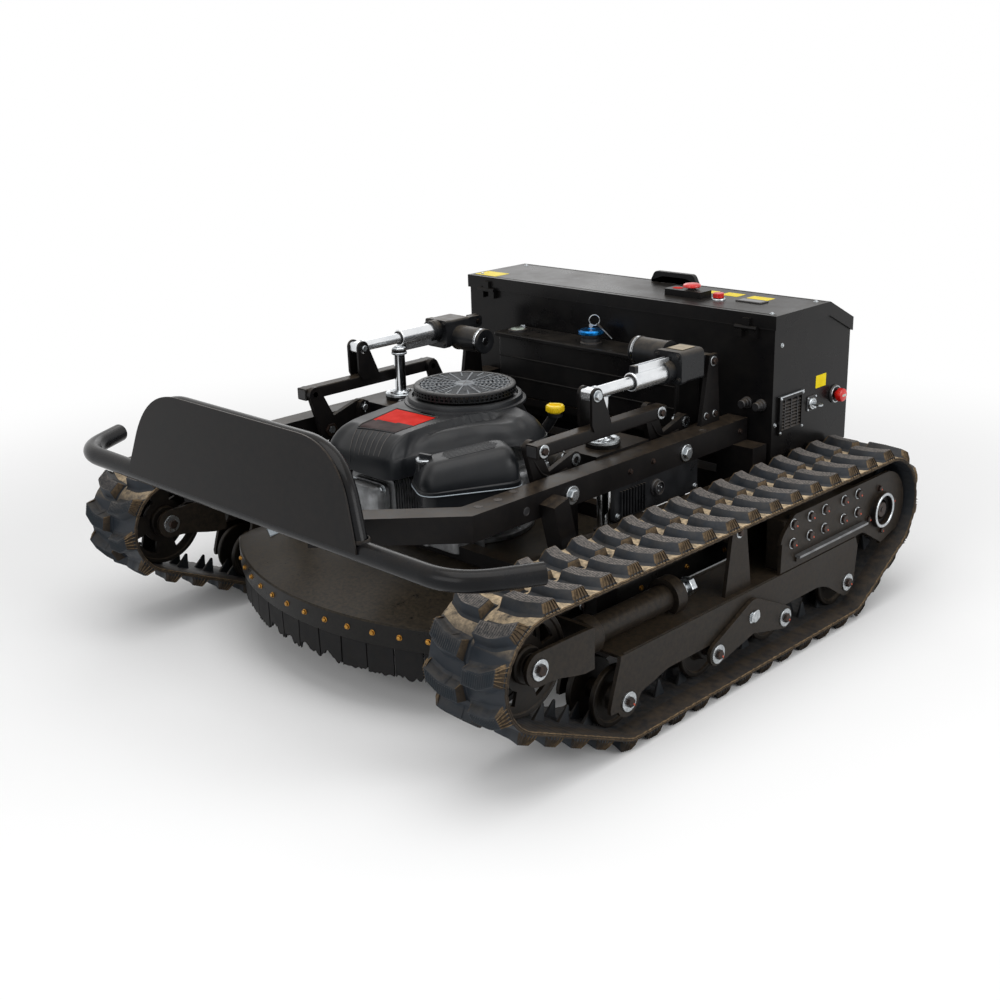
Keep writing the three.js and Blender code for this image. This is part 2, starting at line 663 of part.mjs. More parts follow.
function rearPlateOutline(foot) {
  return [
    [rearPlate.front, foot],
    [rearPlate.notchY, foot],
    [rearPlate.tipY, rearPlate.tipZ],
    ...arcPoints([rearPlate.roundY, rearPlate.roundZ], rearPlate.round, -rightAngle / 2, rightAngle, 5),
    [rearPlate.cornerY, rearPlate.top],
    [rearPlate.front, rearPlate.cornerZ],
  ];
}

// The rear plate carries the sprocket's bearing ring, a ledge of angle iron and two rows of bolts.
function sprocketPlate() {
  const inner = frame.halfWidth - frame.plate;
  const outer = frame.halfWidth;
  const pieces = [
    sidePlate(rearPlateOutline(rearPlate.foot), inner, outer),
    bar('x', rearPlate.ring, inner, outer + rearPlate.ringWidth, [sprocket.y, sprocket.z], 16),
    block([inner, rearPlate.ledgeY0, rearPlate.ledgeZ],
      [outer + rearPlate.ledgeWidth, rearPlate.ledgeY1, rearPlate.ledgeZ + rearPlate.ledge]),
  ];
  for (const z of rearPlate.rows) {
    for (const y of rearPlate.columns) {
      pieces.push(bar('x', rearPlate.bolt, outer - bite, outer + rearPlate.boltHeight, [y, z], 6));
    }
  }
  return cut(join(pieces), [
    bar('x', rearPlate.ringBore, inner - overrun, outer + rearPlate.ringWidth + overrun, [sprocket.y, sprocket.z]),
  ]);
}

// The bogie rocker: a bent plate on each side of the beam, joined by the axles of the two middle road wheels.
function bogieRocker() {
  const near = frame.halfWidth + bogie.gap;
  const far = near + bogie.plate;
  const pieces = [];
  for (const y of [wheel.y[1], wheel.y[2]]) {
    const arm = linkOutline([bogie.y, bogie.z], bogie.pivotEye, [y, bogieWheelZ], bogie.eyeRadius, 3);
    pieces.push(sidePlate(arm, near, far), sidePlate(arm, -far, -near));
    pieces.push(bar('x', wheel.axle, -near, near, [y, bogieWheelZ], capSides), ...boltCap(far, [y, bogieWheelZ]));
  }
  return cut(join(pieces), [
    bar('x', bogie.pin + 2 * fit, -far - overrun, far + overrun, [bogie.y, bogie.z], capSides),
  ]);
}

// The idler fork: two plates with round noses, a back plate and the push rod.
function idlerFork() {
  const outline = [
    [fork.rear, fork.low],
    [fork.rear, fork.high],
    ...arcPoints([idler.y, idler.z], fork.nose, rightAngle, 3 * rightAngle, 5),
  ];
  const outer = frame.halfWidth;
  const inner = outer - frame.plate;
  return join([
    sidePlate(outline, inner, outer),
    sidePlate(outline, -outer, -inner),
    block([-outer, fork.rear - fork.backPlate, fork.low], [outer, fork.rear, fork.high]),
    bar('x', idler.axle, -outer, outer, [idler.y, idler.z]),
    ...boltCap(outer, [idler.y, idler.z]),
    bar('y', fork.rod, fork.rear - fork.backPlate, fork.rodReach, [0, cylinder.z]),
  ]);
}

// The tension cylinder lies on the beam: barrel, front collar, clamp and adjusting bolt.
function tensionCylinder() {
  const at = [0, cylinder.z];
  const whole = join([
    bar('y', cylinder.barrel, cylinder.front, cylinder.rear, at),
    bar('y', cylinder.collar, cylinder.collarFront, cylinder.front + bite, at),
    cut(bar('y', cylinder.clamp, cylinder.clampFront, cylinder.rear, at), [
      block([-cylinder.clamp, 0, 0], [cylinder.clamp, cylinder.rear + overrun, frame.beamTop + fit]),
    ]),
    bar('y', cylinder.bolt, cylinder.rear - bite, cylinder.boltEnd, at, smallSides),
    bar('y', cylinder.hex, cylinder.boltEnd - cylinder.hexLength, cylinder.boltEnd, at, 6),
  ]);
  return cut(whole, [
    bar('y', fork.rod + 2 * fit, cylinder.collarFront - overrun, cylinder.collarFront + cylinder.boreDepth, at),
  ]);
}

// The drive motor with its reduction gear, bolted to the inner plate on the sprocket's axis.
function trackMotor() {
  const start = -frame.halfWidth - fit;
  const at = [sprocket.y, sprocket.z];
  const gearEnd = start - driveMotor.flangeWidth - driveMotor.gearLength;
  return join([
    bar('x', driveMotor.flange, start - driveMotor.flangeWidth, start, at, 16),
    bar('x', driveMotor.gearRadius, gearEnd, start - bite, at, 16),
    bar('x', driveMotor.radius, start - driveMotor.length, gearEnd + bite, at, 16),
  ]);
}

const onTrack = [track.centreX, 0, 0];
addPair('track_frame', trackFrame(), blackPaint, onTrack);
addPair('sprocket_plate', sprocketPlate(), blackPaint, onTrack);
addPair('bogie_rocker', bogieRocker(), blackPaint, onTrack);
addPair('idler_fork', idlerFork(), blackPaint, onTrack);
addPair('tension_cylinder', tensionCylinder(), blackPaint, onTrack);
addPair('drive_motor', trackMotor(), castMetal, onTrack);

// Bumper and guard at the front

const bumperPath = [
  [-bumper.endX, bumper.endY, guard.lowZ],
  [-bumper.bendX, guard.lowY, guard.lowZ],
  [bumper.bendX, guard.lowY, guard.lowZ],
  [bumper.endX, bumper.endY, guard.lowZ],
];
const bumperTube = (radius) => bentTube(bumperPath, bumper.bend, radius);

const guardLean = Math.atan2(guard.highY - guard.lowY, guard.highZ - guard.lowZ);
function leanGuard(geometry) {
  return geometry.rotateX(-guardLean).translate(0, guard.lowY, guard.lowZ);
}

// The bumper with the hoop welded on it, which follows the plate's sides and top.
function bumperBar() {
  const height = (guard.highZ - guard.lowZ) / Math.cos(guardLean);
  const [low, high] = [guard.lowHalf - guard.tube, guard.highHalf - guard.tube];
  const top = height - guard.tube;
  const hoop = leanGuard(bentTube([[-low, 0, 0], [-high, 0, top], [high, 0, top], [low, 0, 0]],
    guard.corner - guard.tube, guard.tube));
  return join([bumperTube(bumper.tube), hoop]);
}

function guardPlate() {
  const height = (guard.highZ - guard.lowZ) / Math.cos(guardLean);
  const run = Math.hypot(guard.lowHalf - guard.highHalf, height);
  const down = guard.corner / run;
  const side = (share) => [guard.highHalf + (guard.lowHalf - guard.highHalf) * share, height * (1 - share)];
  const [start, corner, end] = [side(down), side(0), [guard.highHalf - guard.corner, height]];
  const curve = new THREE.QuadraticBezierCurve(
    new THREE.Vector2(...start), new THREE.Vector2(...corner), new THREE.Vector2(...end));
  const bend = curve.getPoints(4).map((point) => [point.x, point.y]);
  const right = [side(1), ...bend];
  const outline = [...right, ...right.map(([x, z]) => [-x, z]).reverse()];
  const sheet = new THREE.ExtrudeGeometry(shapeOf(outline), { depth: guard.plate, bevelEnabled: false });
  return leanGuard(sheet.rotateX(rightAngle).translate(0, -guard.setBack, 0));
}

add('bumper_bar', bumperBar(), blackPaint());
add('guard_plate', guardPlate(), blackPaint());

// Places of the lift's pins at rest, in the YZ plane

const frontPivot = [lift.frontPivotY, lift.pivotZ];
const rearPivot = [lift.frontPivotY + lift.pivotSpan, lift.pivotZ];
const topPin = ([y, z]) => [y - lift.topArm * Math.sin(lift.lean), z + lift.topArm * Math.cos(lift.lean)];
const lowPin = ([y, z]) => [y + lowerArm * Math.cos(lift.lean), z + lowerArm * Math.sin(lift.lean)];
const railInner = rail.centreX - rail.tube / 2;
const railOuter = rail.centreX + rail.tube / 2;
const railTop = rail.bottom + rail.tube;
const gussetX = tie.x + actuator.eyeHalf + fit;

// Main frame: two rails with bent fronts, braces, lower beams, cross beams, track hangers and the post guides

// A rail seen from above: straight, with its front end bent inward by half a right angle.
function railOutline() {
  const half = rail.tube / 2;
  const mitre = half * Math.tan(rightAngle / 4);
  const side = half * Math.SQRT1_2;
  const tip = [rail.centreX + rail.frontEnd - rail.front, rail.frontEnd];
  return [
    [railOuter, rail.rear],
    [railInner, rail.rear],
    [railInner, rail.front + mitre],
    [tip[0] - side, tip[1] + side],
    [tip[0] + side, tip[1] - side],
    [railOuter, rail.front - mitre],
  ];
}

function frameSide() {
  const half = rail.tube / 2;
  const lowFront = [rail.lowerX - half, rail.lowerFront, rail.lowerTop - rail.tube];
  const lowRear = [rail.lowerX + half, rail.lowerRear, rail.lowerTop];
  const hangers = [hanger.frontY, hanger.rearY].map((y) => block(
    [rail.lowerX + half - bite, y - hanger.width / 2, hanger.low],
    [track.centreX - frame.halfWidth - fit, y + hanger.width / 2, rail.lowerTop],
  ));
  const upright = block(
    [railInner + brace.tube / 4, cross.midY - half, rail.lowerTop - bite],
    [rail.lowerX + half, cross.midY + half, rail.bottom + bite],
  );
  const pads = [rail.lowerRear - half - cross.padPitch, rail.lowerRear - half].map((y) => block(
    [rail.lowerX - half, y - half, rail.lowerTop - bite],
    [rail.lowerX + half, y + half, rail.lowerTop + cross.padHeight - fit],
  ));
  const guidePlate = block(
    [guide.plateInner, guideY - guide.plateAhead, guide.plateZ],
    [railInner + bite, guideY + guide.plateBehind, guide.plateZ + guide.plate],
  );
  const guideLip = block(
    [guide.plateInner, guideY - guide.plateAhead, guide.plateZ - 3 * guide.plate],
    [railInner + bite, guideY - guide.plateAhead + guide.plate, guide.plateZ + bite],
  );
  const boss = bar('z', guide.boss, guide.plateZ, guide.plateZ + guide.plate + guide.bossHeight, [guide.x, guideY]);
  const gussetPlate = sidePlate([
    [gusset.front, railTop - bite],
    [gusset.rear, railTop - bite],
    [gusset.headRear, tie.earZ + actuator.eye],
    [gusset.headFront, tie.earZ + actuator.eye],
  ], gussetX, gussetX + gusset.plate);
  const gussetPin = bar('x', actuator.pin, tie.x - actuator.eyeHalf - lift.washerHeight, gussetX + bite,
    [actuator.pinY, tie.earZ], smallSides);
  return [
    flatPlate(railOutline(), rail.bottom, railTop),
    strut([brace.x, brace.topY, brace.topZ], [brace.x, brace.footY, brace.footZ], brace.tube, brace.tube),
    block(lowFront, lowRear),
    ...hangers,
    upright,
    ...pads,
    guidePlate,
    guideLip,
    boss,
    gussetPlate,
    gussetPin,
  ];
}

function mainFrame() {
  const half = rail.tube / 2;
  const side = frameSide();
  const crossX = rail.lowerX;
  const crosses = [cross.midY, cross.rearY].map((y) => block(
    [-crossX, y - half, rail.lowerTop - rail.tube],
    [crossX, y + half, rail.lowerTop],
  ));
  const tray = block(
    [-railInner - bite, tank.front + tank.lip, rail.bottom],
    [railInner + bite, rail.rear, tank.bottom - fit],
  );
  const whole = join([...side, ...side.map(mirrored), ...crosses, tray]);
  const tools = [bumperTube(bumper.tube + fit)];
  for (const sign of [1, -1]) {
    tools.push(bar('z', guide.bore, guide.plateZ - overrun, guide.top, [sign * guide.x, guideY], 16));
    const [inside, outside] = [sign * (railInner - overrun), sign * (railOuter + overrun)];
    for (const pivot of [frontPivot, rearPivot]) {
      tools.push(bar('x', lift.pivotPin + lift.pivotPlay, inside, outside, pivot, capSides));
    }
  }
  return cut(whole, tools);
}

add('main_frame', mainFrame(), blackPaint());

// Lift cranks, tie bars and electric cylinders

function liftCrank(pivot) {
  const [x0, x1] = [lift.plateX, lift.plateX + lift.plate];
  const top = topPin(pivot);
  const low = lowPin(pivot);
  const tieOuter = tie.x + tie.width / 2 + fit;
  const washerEnd = railOuter + lift.washerHeight;
  return join([
    sidePlate(linkOutline(pivot, lift.pivotEye, top, lift.armEye, 3), x0, x1),
    sidePlate(linkOutline(pivot, lift.pivotEye, low, lift.armEye, 3), x0, x1),
    bar('x', lift.armEye, x1 - bite, railInner - fit, pivot, capSides),
    bar('x', lift.pivotPin, x0 - lift.headHeight, washerEnd, pivot, smallSides),
    bar('x', lift.washer, railOuter + fit, washerEnd, pivot, capSides),
    bar('x', lift.head, washerEnd - bite, washerEnd + lift.headHeight, pivot, 6),
    bar('x', lift.pin, x0, tieOuter + bite, top, smallSides),
    bar('x', lift.head, tieOuter, tieOuter + lift.headHeight, top, 6),
    bar('x', lift.pin, x0 - lift.pinReach, x0 + bite, low, smallSides),
  ]);
}

function slotOutline([y0, z0], [y1, z1], radius) {
  const reach = radius / Math.cos(Math.PI / smallSides);
  return linkOutline([y0, z0], reach, [y1, z1], reach, smallSides / 2);
}

// The tie bar joins the two crank heads; its ears take the cylinder's pin in upright slots.
function tieBar() {
  const [front, rear] = [topPin(frontPivot), topPin(rearPivot)];
  const half = tie.width / 2;
  const z = front[1];
  const rise = lift.topArm * (1 - Math.cos(lift.lean));
  const pinRoom = lift.pin + lift.pinPlay / 2;
  const slot = slotOutline([tie.earY, tie.earZ - rise], [tie.earY, tie.earZ], pinRoom);
  const earOutline = [
    [tie.earY - tie.earFoot / 4, z],
    [tie.earY + tie.earFoot, z],
    ...arcPoints([tie.earY, tie.earZ], tie.earEye, 0, Math.PI, 4),
  ];
  const ears = [
    [tie.x + tie.earGap, tie.x + tie.earGap + tie.ear],
    [tie.x - tie.earGap - tie.ear, tie.x - tie.earGap],
  ].map(([x0, x1]) => sidePlate(earOutline, x0, x1, [slot]));
  const body = block([tie.x - half, front[0] - tie.overhang, z - tie.height / 2],
    [tie.x + half, rear[0] + tie.overhang, z + tie.height / 2]);
  return cut(join([body, ...ears]), [front, rear].map((pin) => bar('x', lift.pin + lift.pinPlay,
    tie.x - tie.width, tie.x + tie.width, pin, smallSides)));
}

function actuatorRod() {
  const at = [tie.x, tie.earZ];
  const pinHalf = tie.earGap + tie.ear + lift.headHeight;
  return join([
    bar('y', actuator.rod, tie.earY, actuator.rodEnd, at),
    block([tie.x - tie.earGap + fit, tie.earY - actuator.rod, tie.earZ - actuator.rod],
      [tie.x + tie.earGap - fit, tie.earY + actuator.rod, tie.earZ + actuator.rod]),
    bar('x', lift.pin, tie.x - pinHalf, tie.x + pinHalf, [tie.earY, tie.earZ], smallSides),
  ]);
}

// The cylinder's outer tube, collar, gear block and crosswise motor. The left one is the same piece, turned over.
function actuatorBody() {
  const at = [tie.x, tie.earZ];
  const z = tie.earZ;
  const half = actuator.blockHalf;
  const whole = join([
    bar('y', actuator.tube, actuator.tubeFront, actuator.tubeRear + bite, at),
    bar('y', actuator.collar, actuator.tubeRear - actuator.collarLength, actuator.tubeRear + bite, at),
    block([tie.x - half, actuator.blockFront, z + actuator.blockLow],
      [tie.x + half, actuator.blockRear, z + actuator.blockHigh]),
    bar('x', actuator.motor, actuator.motorEnd, tie.x, [actuator.motorY, z + actuator.motorRise], 16),
    block([tie.x - actuator.ribWidth / 2, actuator.tubeFront + overrun, z + actuator.tube - actuator.ribSink],
      [tie.x + actuator.ribWidth / 2, actuator.blockFront + bite, z + actuator.tube + actuator.ribHeight]),
    block([tie.x - actuator.eyeHalf, actuator.blockRear - bite, z - actuator.eye],
      [tie.x + actuator.eyeHalf, actuator.pinY + actuator.eye, z + actuator.eye]),
  ]);
  const [boreStart, boreEnd] = [actuator.tubeFront - overrun, actuator.tubeFront + actuator.boreDepth];
  const pinAt = [actuator.pinY, z];
  return cut(whole, [
    bar('y', actuator.rod + actuator.play, boreStart, boreEnd, at, 16),
    bar('x', actuator.pin + gusset.play, tie.x - actuator.tube, tie.x + actuator.tube, pinAt, smallSides),
  ]);
}

addPair('lift_crank_front', liftCrank(frontPivot), blackPaint);
addPair('lift_crank_rear', liftCrank(rearPivot), blackPaint);
addPair('tie_bar', tieBar(), blackPaint);
addPair('actuator_rod', actuatorRod(), silverMetal);

const actuatorShape = actuatorBody();
add('actuator_body_right', actuatorShape, silverMetal());
const actuatorCopy = actuatorShape.clone().translate(-tie.x, 0, -tie.earZ);
const turnedOver = add('actuator_body_left', actuatorCopy, silverMetal(), [-tie.x, 0, tie.earZ]);
turnedOver.rotation.y = Math.PI;

// Deck carriage: cross bars and side bars on the deck, with four lift lugs and the two chrome guide posts

function deckCarriage() {
  const low = deck.top;
  const high = low + carriage.bar;
  const half = carriage.barWidth / 2;
  const barEnd = lowPin(rearPivot)[0] + carriage.lugHalf + carriage.tail;
  const pieces = [];
  for (const sign of [1, -1]) {
    const mirror = (x0, x1) => (sign > 0 ? [x0, x1] : [-x1, -x0]);
    const [s0, s1] = mirror(carriage.x - half, carriage.x + half);
    pieces.push(block([s0, carriage.front, low], [s1, barEnd, high]));
    for (const pivot of [frontPivot, rearPivot]) {
      const pin = lowPin(pivot);
      const reach = lowerArm * (1 - Math.cos(lift.lean));
      const [l0, l1] = mirror(lift.plateX - carriage.lug - lift.pinPlay * 2, lift.plateX - lift.pinPlay * 2);
      const outline = [
        [pin[0] - carriage.lugHalf, low],
        [pin[0] + carriage.lugHalf, low],
        ...arcPoints([pin[0] + reach / 2, pin[1]], carriage.lugHead, 0, Math.PI, 4),
      ];
      const slot = slotOutline([pin[0], pin[1]], [pin[0] + reach, pin[1]], lift.pin + lift.pinPlay);
      pieces.push(sidePlate(outline, l0, l1, [slot]));
    }
    pieces.push(bar('z', guide.post, high - bite, guide.top, [sign * guide.x, guideY], 16));
    pieces.push(bar('z', guide.cap, guide.top - bite, guide.top + guide.capHeight / 2, [sign * guide.x, guideY]));
    pieces.push(bar('z', lift.head, guide.top, guide.top + guide.capHeight, [sign * guide.x, guideY], 6));
  }
  for (const y of [carriage.crossFront, carriage.crossRear]) {
    pieces.push(block([-carriage.x, y, low], [carriage.x, y + carriage.bar, high]));
  }
  const noses = [1, -1].map((sign) => {
    const edges = [sign * (carriage.x - half), sign * (carriage.x + half)].sort((a, b) => a - b);
    return block([edges[0], carriage.crossFront, low], [edges[1], carriage.front + bite, high]);
  });
  return join([...pieces, ...noses]);
}

add('deck_carriage', deckCarriage(), bareSteel());

// Mower deck: a dished shell with a flanged rim, the slit rubber skirt at its front, and the blade

function deckOutline(inset) {
  const spread = Math.asin(deck.arcHalf / deck.arcRadius);
  const front = arcPoints([0, deckArcY], deck.arcRadius - inset, -rightAngle - spread, -rightAngle + spread, 14);
  const side = deck.sideHalf - inset;
  const sideFront = deckArcY - deck.arcRadius * Math.cos(spread) + deck.sideStep;
  return [...front, [side, sideFront], [side, deck.rear - inset], [-side, deck.rear - inset], [-side, sideFront]];
}

// The raised plateau under the engine has as many points as the rim, each in line with its middle.
function plateau(rim) {
  return rim.map(([x, y]) => {
    const angle = Math.atan2(y - deck.plateauCentreY, x);
    const stretch = y > deck.plateauCentreY ? plateauShares.rear : plateauShares.front;
    return [deck.plateauX * Math.cos(angle), deck.plateauCentreY + deck.plateauY * stretch * Math.sin(angle)];
  });
}

function deckShell() {
  const rim = deckOutline(0);
  const inside = deckOutline(deck.sheet);
  const shell = stacked([raise(rim, deck.bottom), raise(rim, deck.rim), raise(plateau(rim), deck.top)]);
  const hollow = stacked([
    raise(inside, deck.bottom - overrun),
    raise(inside, deck.rim - deck.sheet),
    raise(plateau(inside), deck.top - deck.sheet),
  ]);
  const hole = bar('z', deck.engineHole, deck.rim, deck.top + overrun, [0, engine.y]);
  return cut(shell, [hollow, hole]);
}

function deckSkirt() {
  const middle = [0, deckArcY];
  const outer = deck.arcRadius - deck.sheet - skirt.gap;
  const inner = outer - skirt.sheet;
  const [from, to] = [-rightAngle - skirt.halfAngle, -rightAngle + skirt.halfAngle];
  const outline = [...arcPoints(middle, outer, from, to, 14), ...arcPoints(middle, inner, to, from, 14)];
  const band = flatPlate(outline, skirt.low, skirt.high);
  const step = skirt.slitPitch / outer;
  const count = Math.floor(skirt.halfAngle / step);
  const slits = [];
  for (let i = -count; i <= count; i += 1) {
    const slit = block(
      [-skirt.slit / 2, -outer - overrun, skirt.low - overrun],
      [skirt.slit / 2, overrun - inner, skirt.slitTop],
    );
    slits.push(slit.rotateZ((i + 0.5) * step).translate(0, deckArcY, 0));
  }
  return cut(band, slits);
}

function cutterBlade() {
  const half = blade.length / 2;
  const top = blade.z + blade.sheet;
  const at = [0, engine.y];
  const wingOutline = (sign) => [
    [sign * half, engine.y + (sign * blade.width) / 2],
    [sign * (half - blade.wing), engine.y + (sign * blade.width) / 2],
    [sign * (half - blade.wing), engine.y + (sign * blade.width) / 4],
    [sign * half, engine.y + (sign * blade.width) / 4],
  ];
  return join([
    block([-half, engine.y - blade.width / 2, blade.z], [half, engine.y + blade.width / 2, top]),
    flatPlate(wingOutline(1), top - bite, top + 2 * blade.sheet),
    flatPlate(wingOutline(-1), top - bite, top + 2 * blade.sheet),
    bar('z', blade.disc / 2, top - bite, top + blade.discHeight, at),
    bar('z', blade.shaft, top, deck.top + engine.shaftDepth, at),
  ]);
}

add('deck_shell', deckShell(), blackPaint());
add('deck_skirt', deckSkirt(), trackRubber());
add('cutter_blade', cutterBlade(), bareSteel());

// Engine: crankcase with a cylinder forward and one to the right, muffler behind, cowl, screen and air filter

function engineBlock() {
  const at = [0, engine.y];
  const halfBarrel = engine.barrelWidth / 2;
  const cover = engine.coverLength;
  const margin = engine.coverMargin;
  const [low, high] = [engine.barrelLow, engine.barrelHigh];
  const forwardCover = engine.forwardEnd;
  const sideCover = engine.sideEnd;
  const pieces = [
    bar('z', engine.baseFlange, deck.top, deck.top + engine.flangeHeight, at, 16),
    bar('z', engine.caseRadius, deck.top, engine.caseTop, at, 16),
    bar('z', engine.housing, engine.caseTop - bite, cowl.top - cowl.wall, at),
    block([engine.forwardX - halfBarrel, forwardCover, low], [engine.forwardX + halfBarrel, engine.y, high]),
    block([engine.forwardX - halfBarrel + margin, forwardCover - cover, low + margin],
      [engine.forwardX + halfBarrel - margin, forwardCover + bite, high - margin]),
    block([0, engine.sideY - halfBarrel, low], [sideCover, engine.sideY + halfBarrel, high]),
    block([sideCover - bite, engine.sideY - halfBarrel + margin, low + margin],
      [sideCover + cover, engine.sideY + halfBarrel - margin, high - margin]),
    block([engine.intakeX - engine.intake / 2, engine.intakeY - engine.intake / 2, low],
      [engine.intakeX + engine.intake / 2, engine.intakeY + engine.intake / 2, filter.bottom]),
    block([engine.forwardX, engine.intakeY - engine.intake / 4, low],
      [engine.intakeX, engine.intakeY + engine.intake / 4, low + engine.intake / 2]),
    roundStrut([oil.footX, oil.footY, oil.footZ], [oil.x, oil.y, oil.capBottom - fit], oil.neck),
    bar('x', muffler.radius, -muffler.halfLength, muffler.halfLength, [muffler.y, muffler.z], 16),
    bar('y', muffler.pipe, engine.y, muffler.y, [0, muffler.z], smallSides),
  ];
  for (let i = 0; i < engine.fins; i += 1) {
    const y = forwardCover + margin + i * margin * 2;
    const x = sideCover - margin - i * margin * 2;
    pieces.push(block([engine.forwardX - halfBarrel - engine.finProud, y, low - engine.finProud],
      [engine.forwardX + halfBarrel + engine.finProud, y + engine.fin, high]));
    pieces.push(block([x - engine.fin, engine.sideY - halfBarrel - engine.finProud, low - engine.finProud],
      [x, engine.sideY + halfBarrel + engine.finProud, high]));
  }
  return cut(join(pieces), [
    bar('z', engine.shaftBore, deck.top - overrun, deck.top + engine.shaftDepth, at),
    bar('z', engine.shaftBore, screen.shaftEnd, cowl.top, at),
    flatPlate(circlePoints(oil.cap + overrun, smallSides, [oil.x, oil.y]), oil.capBottom - fit, oil.capTop),
  ]);
}

// The cowl's outline seen from above: a round back about the fan, a lobe forward and a shoulder to the right.
const cowlOutlineShares = [
  [0.147, 0.057], [0.266, 0.018], [0.484, 0], [0.668, 0.002], [0.717, 0.048], [0.726, 0.114],
  [0.821, 0.298], [0.87, 0.439], [0.978, 0.544], [1, 0.654], [0.935, 0.768], [0.679, 0.86],
  [0.538, 0.978], [0.321, 1], [0.125, 0.939], [0.016, 0.807], [0, 0.632], [0.054, 0.39],
];
const cowlMiddleShares = [0.457, 0.5];
const cowlShares = { shoulder: 0.985, brow: 0.9, top: 0.8 };
const onCowl = ([x, y]) => [cowl.left + cowl.width * x, cowl.front + cowl.length * y];
const cowlMiddle = onCowl(cowlMiddleShares);

function cowlRing(share, inset, z) {
  return cowlOutlineShares.map(onCowl).map(([x, y]) => {
    const reach = Math.hypot(x - cowlMiddle[0], y - cowlMiddle[1]);
    const scale = share * (1 - inset / reach);
    return [cowlMiddle[0] + (x - cowlMiddle[0]) * scale, cowlMiddle[1] + (y - cowlMiddle[1]) * scale, z];
  });
}

function engineCowl() {
  const at = [0, engine.y];
  const outside = stacked([
    cowlRing(1, 0, cowl.bottom),
    cowlRing(cowlShares.shoulder, 0, cowl.shoulder),
    cowlRing(cowlShares.brow, 0, cowl.brow),
    cowlRing(cowlShares.top, 0, cowl.top),
  ]);
  const inside = stacked([
    cowlRing(1, cowl.wall, cowl.bottom - overrun),
    cowlRing(cowlShares.shoulder, cowl.wall, cowl.shoulder),
    cowlRing(cowlShares.brow, cowl.wall, cowl.brow - cowl.wall),
    cowlRing(cowlShares.top, cowl.wall, cowl.top - cowl.wall),
  ]);
  const ring = bar('z', cowl.ring, cowl.brow - cowl.wall, cowl.ringTop, at, 20);
  return cut(join([outside, ring]), [
    inside,
    block([cowl.stepX, cowl.stepY, cowl.bottom - overrun], [engine.sideEnd * 2, engine.y * 2, cowl.stepZ]),
    bar('z', cowl.hole, cowl.bottom, cowl.ringTop + overrun, at),
  ]);
}

function fanScreen() {
  const holes = [];
  for (let i = 0; i < screen.holes; i += 1) {
    const middle = (2 * Math.PI * i) / screen.holes;
    const half = (holeWidthShare * Math.PI) / screen.holes;
    const corner = (radius, angle) => [radius * Math.cos(angle), radius * Math.sin(angle)];
    holes.push([
      corner(screen.holeOuter, middle - half), corner(screen.holeOuter, middle + half),
      corner(screen.holeInner, middle + half), corner(screen.holeInner, middle - half),
    ]);
  }
  return join([
    flatPlate(circlePoints(screen.radius, 24), screen.bottom, screen.top, holes),
    bar('z', screen.shaft, screen.shaftEnd, screen.bottom + bite, [0, 0]),
  ]);
}

function roundedRectangle(length, width, radius) {
  const [x, y] = [length / 2 - radius, width / 2 - radius];
  return [
    ...arcPoints([x, y], radius, 0, rightAngle, 2),
    ...arcPoints([-x, y], radius, rightAngle, 2 * rightAngle, 2),
    ...arcPoints([-x, -y], radius, 2 * rightAngle, 3 * rightAngle, 2),
    ...arcPoints([x, -y], radius, 3 * rightAngle, 4 * rightAngle, 2),
  ];
}

// The cover's top slopes down to the front, where its clamp knob stands.
function airFilterCover() {
  const level = (inset) => roundedRectangle(filter.width - 2 * inset, filter.length - 2 * inset, filter.round);
  const ring = (inset, z, slope = 0) => level(inset).map(([x, y]) => [x, y, z + slope * y]);
  const knobY = filter.round - filter.length / 2;
  return join([
    stacked([
      ring(filter.shoulder, filter.bottom),
      ring(filter.shoulder, filter.seam),
      ring(0, filter.seam),
      ring(filter.shoulder, filter.brow, filter.slope),
      ring(filter.shoulder * 3, filter.top, filter.slope),
    ]),
    bar('z', filter.knob, filter.seam, filter.knobTop, [-filter.width / 5, knobY]),
  ]);
}

const engineAt = [0, engine.y, 0];
add('engine_block', engineBlock(), castMetal());
add('engine_cowl', engineCowl(), blackPlastic());
add('fan_screen', fanScreen(), blackPlastic(), engineAt);
add('air_filter_cover', airFilterCover(), blackPlastic(), [filter.x, filter.y, 0]).rotation.z = filter.turn;
const oilCap = bar('z', oil.cap, 0, oil.capTop - oil.capBottom, [0, 0]);
add('oil_cap', oilCap, yellowPlastic(), [oil.x, oil.y, oil.capBottom]);

// Fuel tank with its cap

function fuelTank() {
  const [x, y0, y1] = [tank.halfWidth, tank.front, tank.rear];
  return join([
    block([-x + tank.lip, y0 + tank.lip, tank.bottom], [x - tank.lip, y1, tank.top - bite]),
    block([-x, y0, tank.top - tank.lipHeight], [x, y1, tank.top]),
    bar('z', tank.neck, tank.top - bite, tank.top + tank.neckHeight, [tank.capX, (y0 + y1) / 2]),
    bar('z', tank.neck, tank.top - bite, tank.top + tank.neckHeight / 2, [tank.gaugeX, (y0 + y1) / 2]),
  ]);
}

function tankCap() {
  const low = tank.neckHeight + fit;
  const high = low + fuelCap.height;
  return join([
    bar('z', fuelCap.radius, low, high - fuelCap.skirt, [0, 0], 16),
    bar('z', fuelCap.radius - fuelCap.skirt, high - fuelCap.skirt - bite, high, [0, 0], 16),
  ]);
}

add('fuel_tank', fuelTank(), blackPaint());
add('fuel_cap', tankCap(), blueAnodised(), [tank.capX, (tank.front + tank.rear) / 2, tank.top]);

// Control box, its lid and what is on them

const lidLow = box.flatTop - box.lidSkirt;
const lidUnder = box.flatTop + fit;
const eavesUnder = box.eaves + fit;

function boxOutline(inset, lift0) {
  return [
    [box.front + inset, box.bottom + inset],
    [box.rear - inset, box.bottom + inset],
    [box.rear - inset, box.eaves + lift0],
    [box.ridge, box.flatTop + lift0],
    [box.front + inset, box.flatTop + lift0],
  ];
}

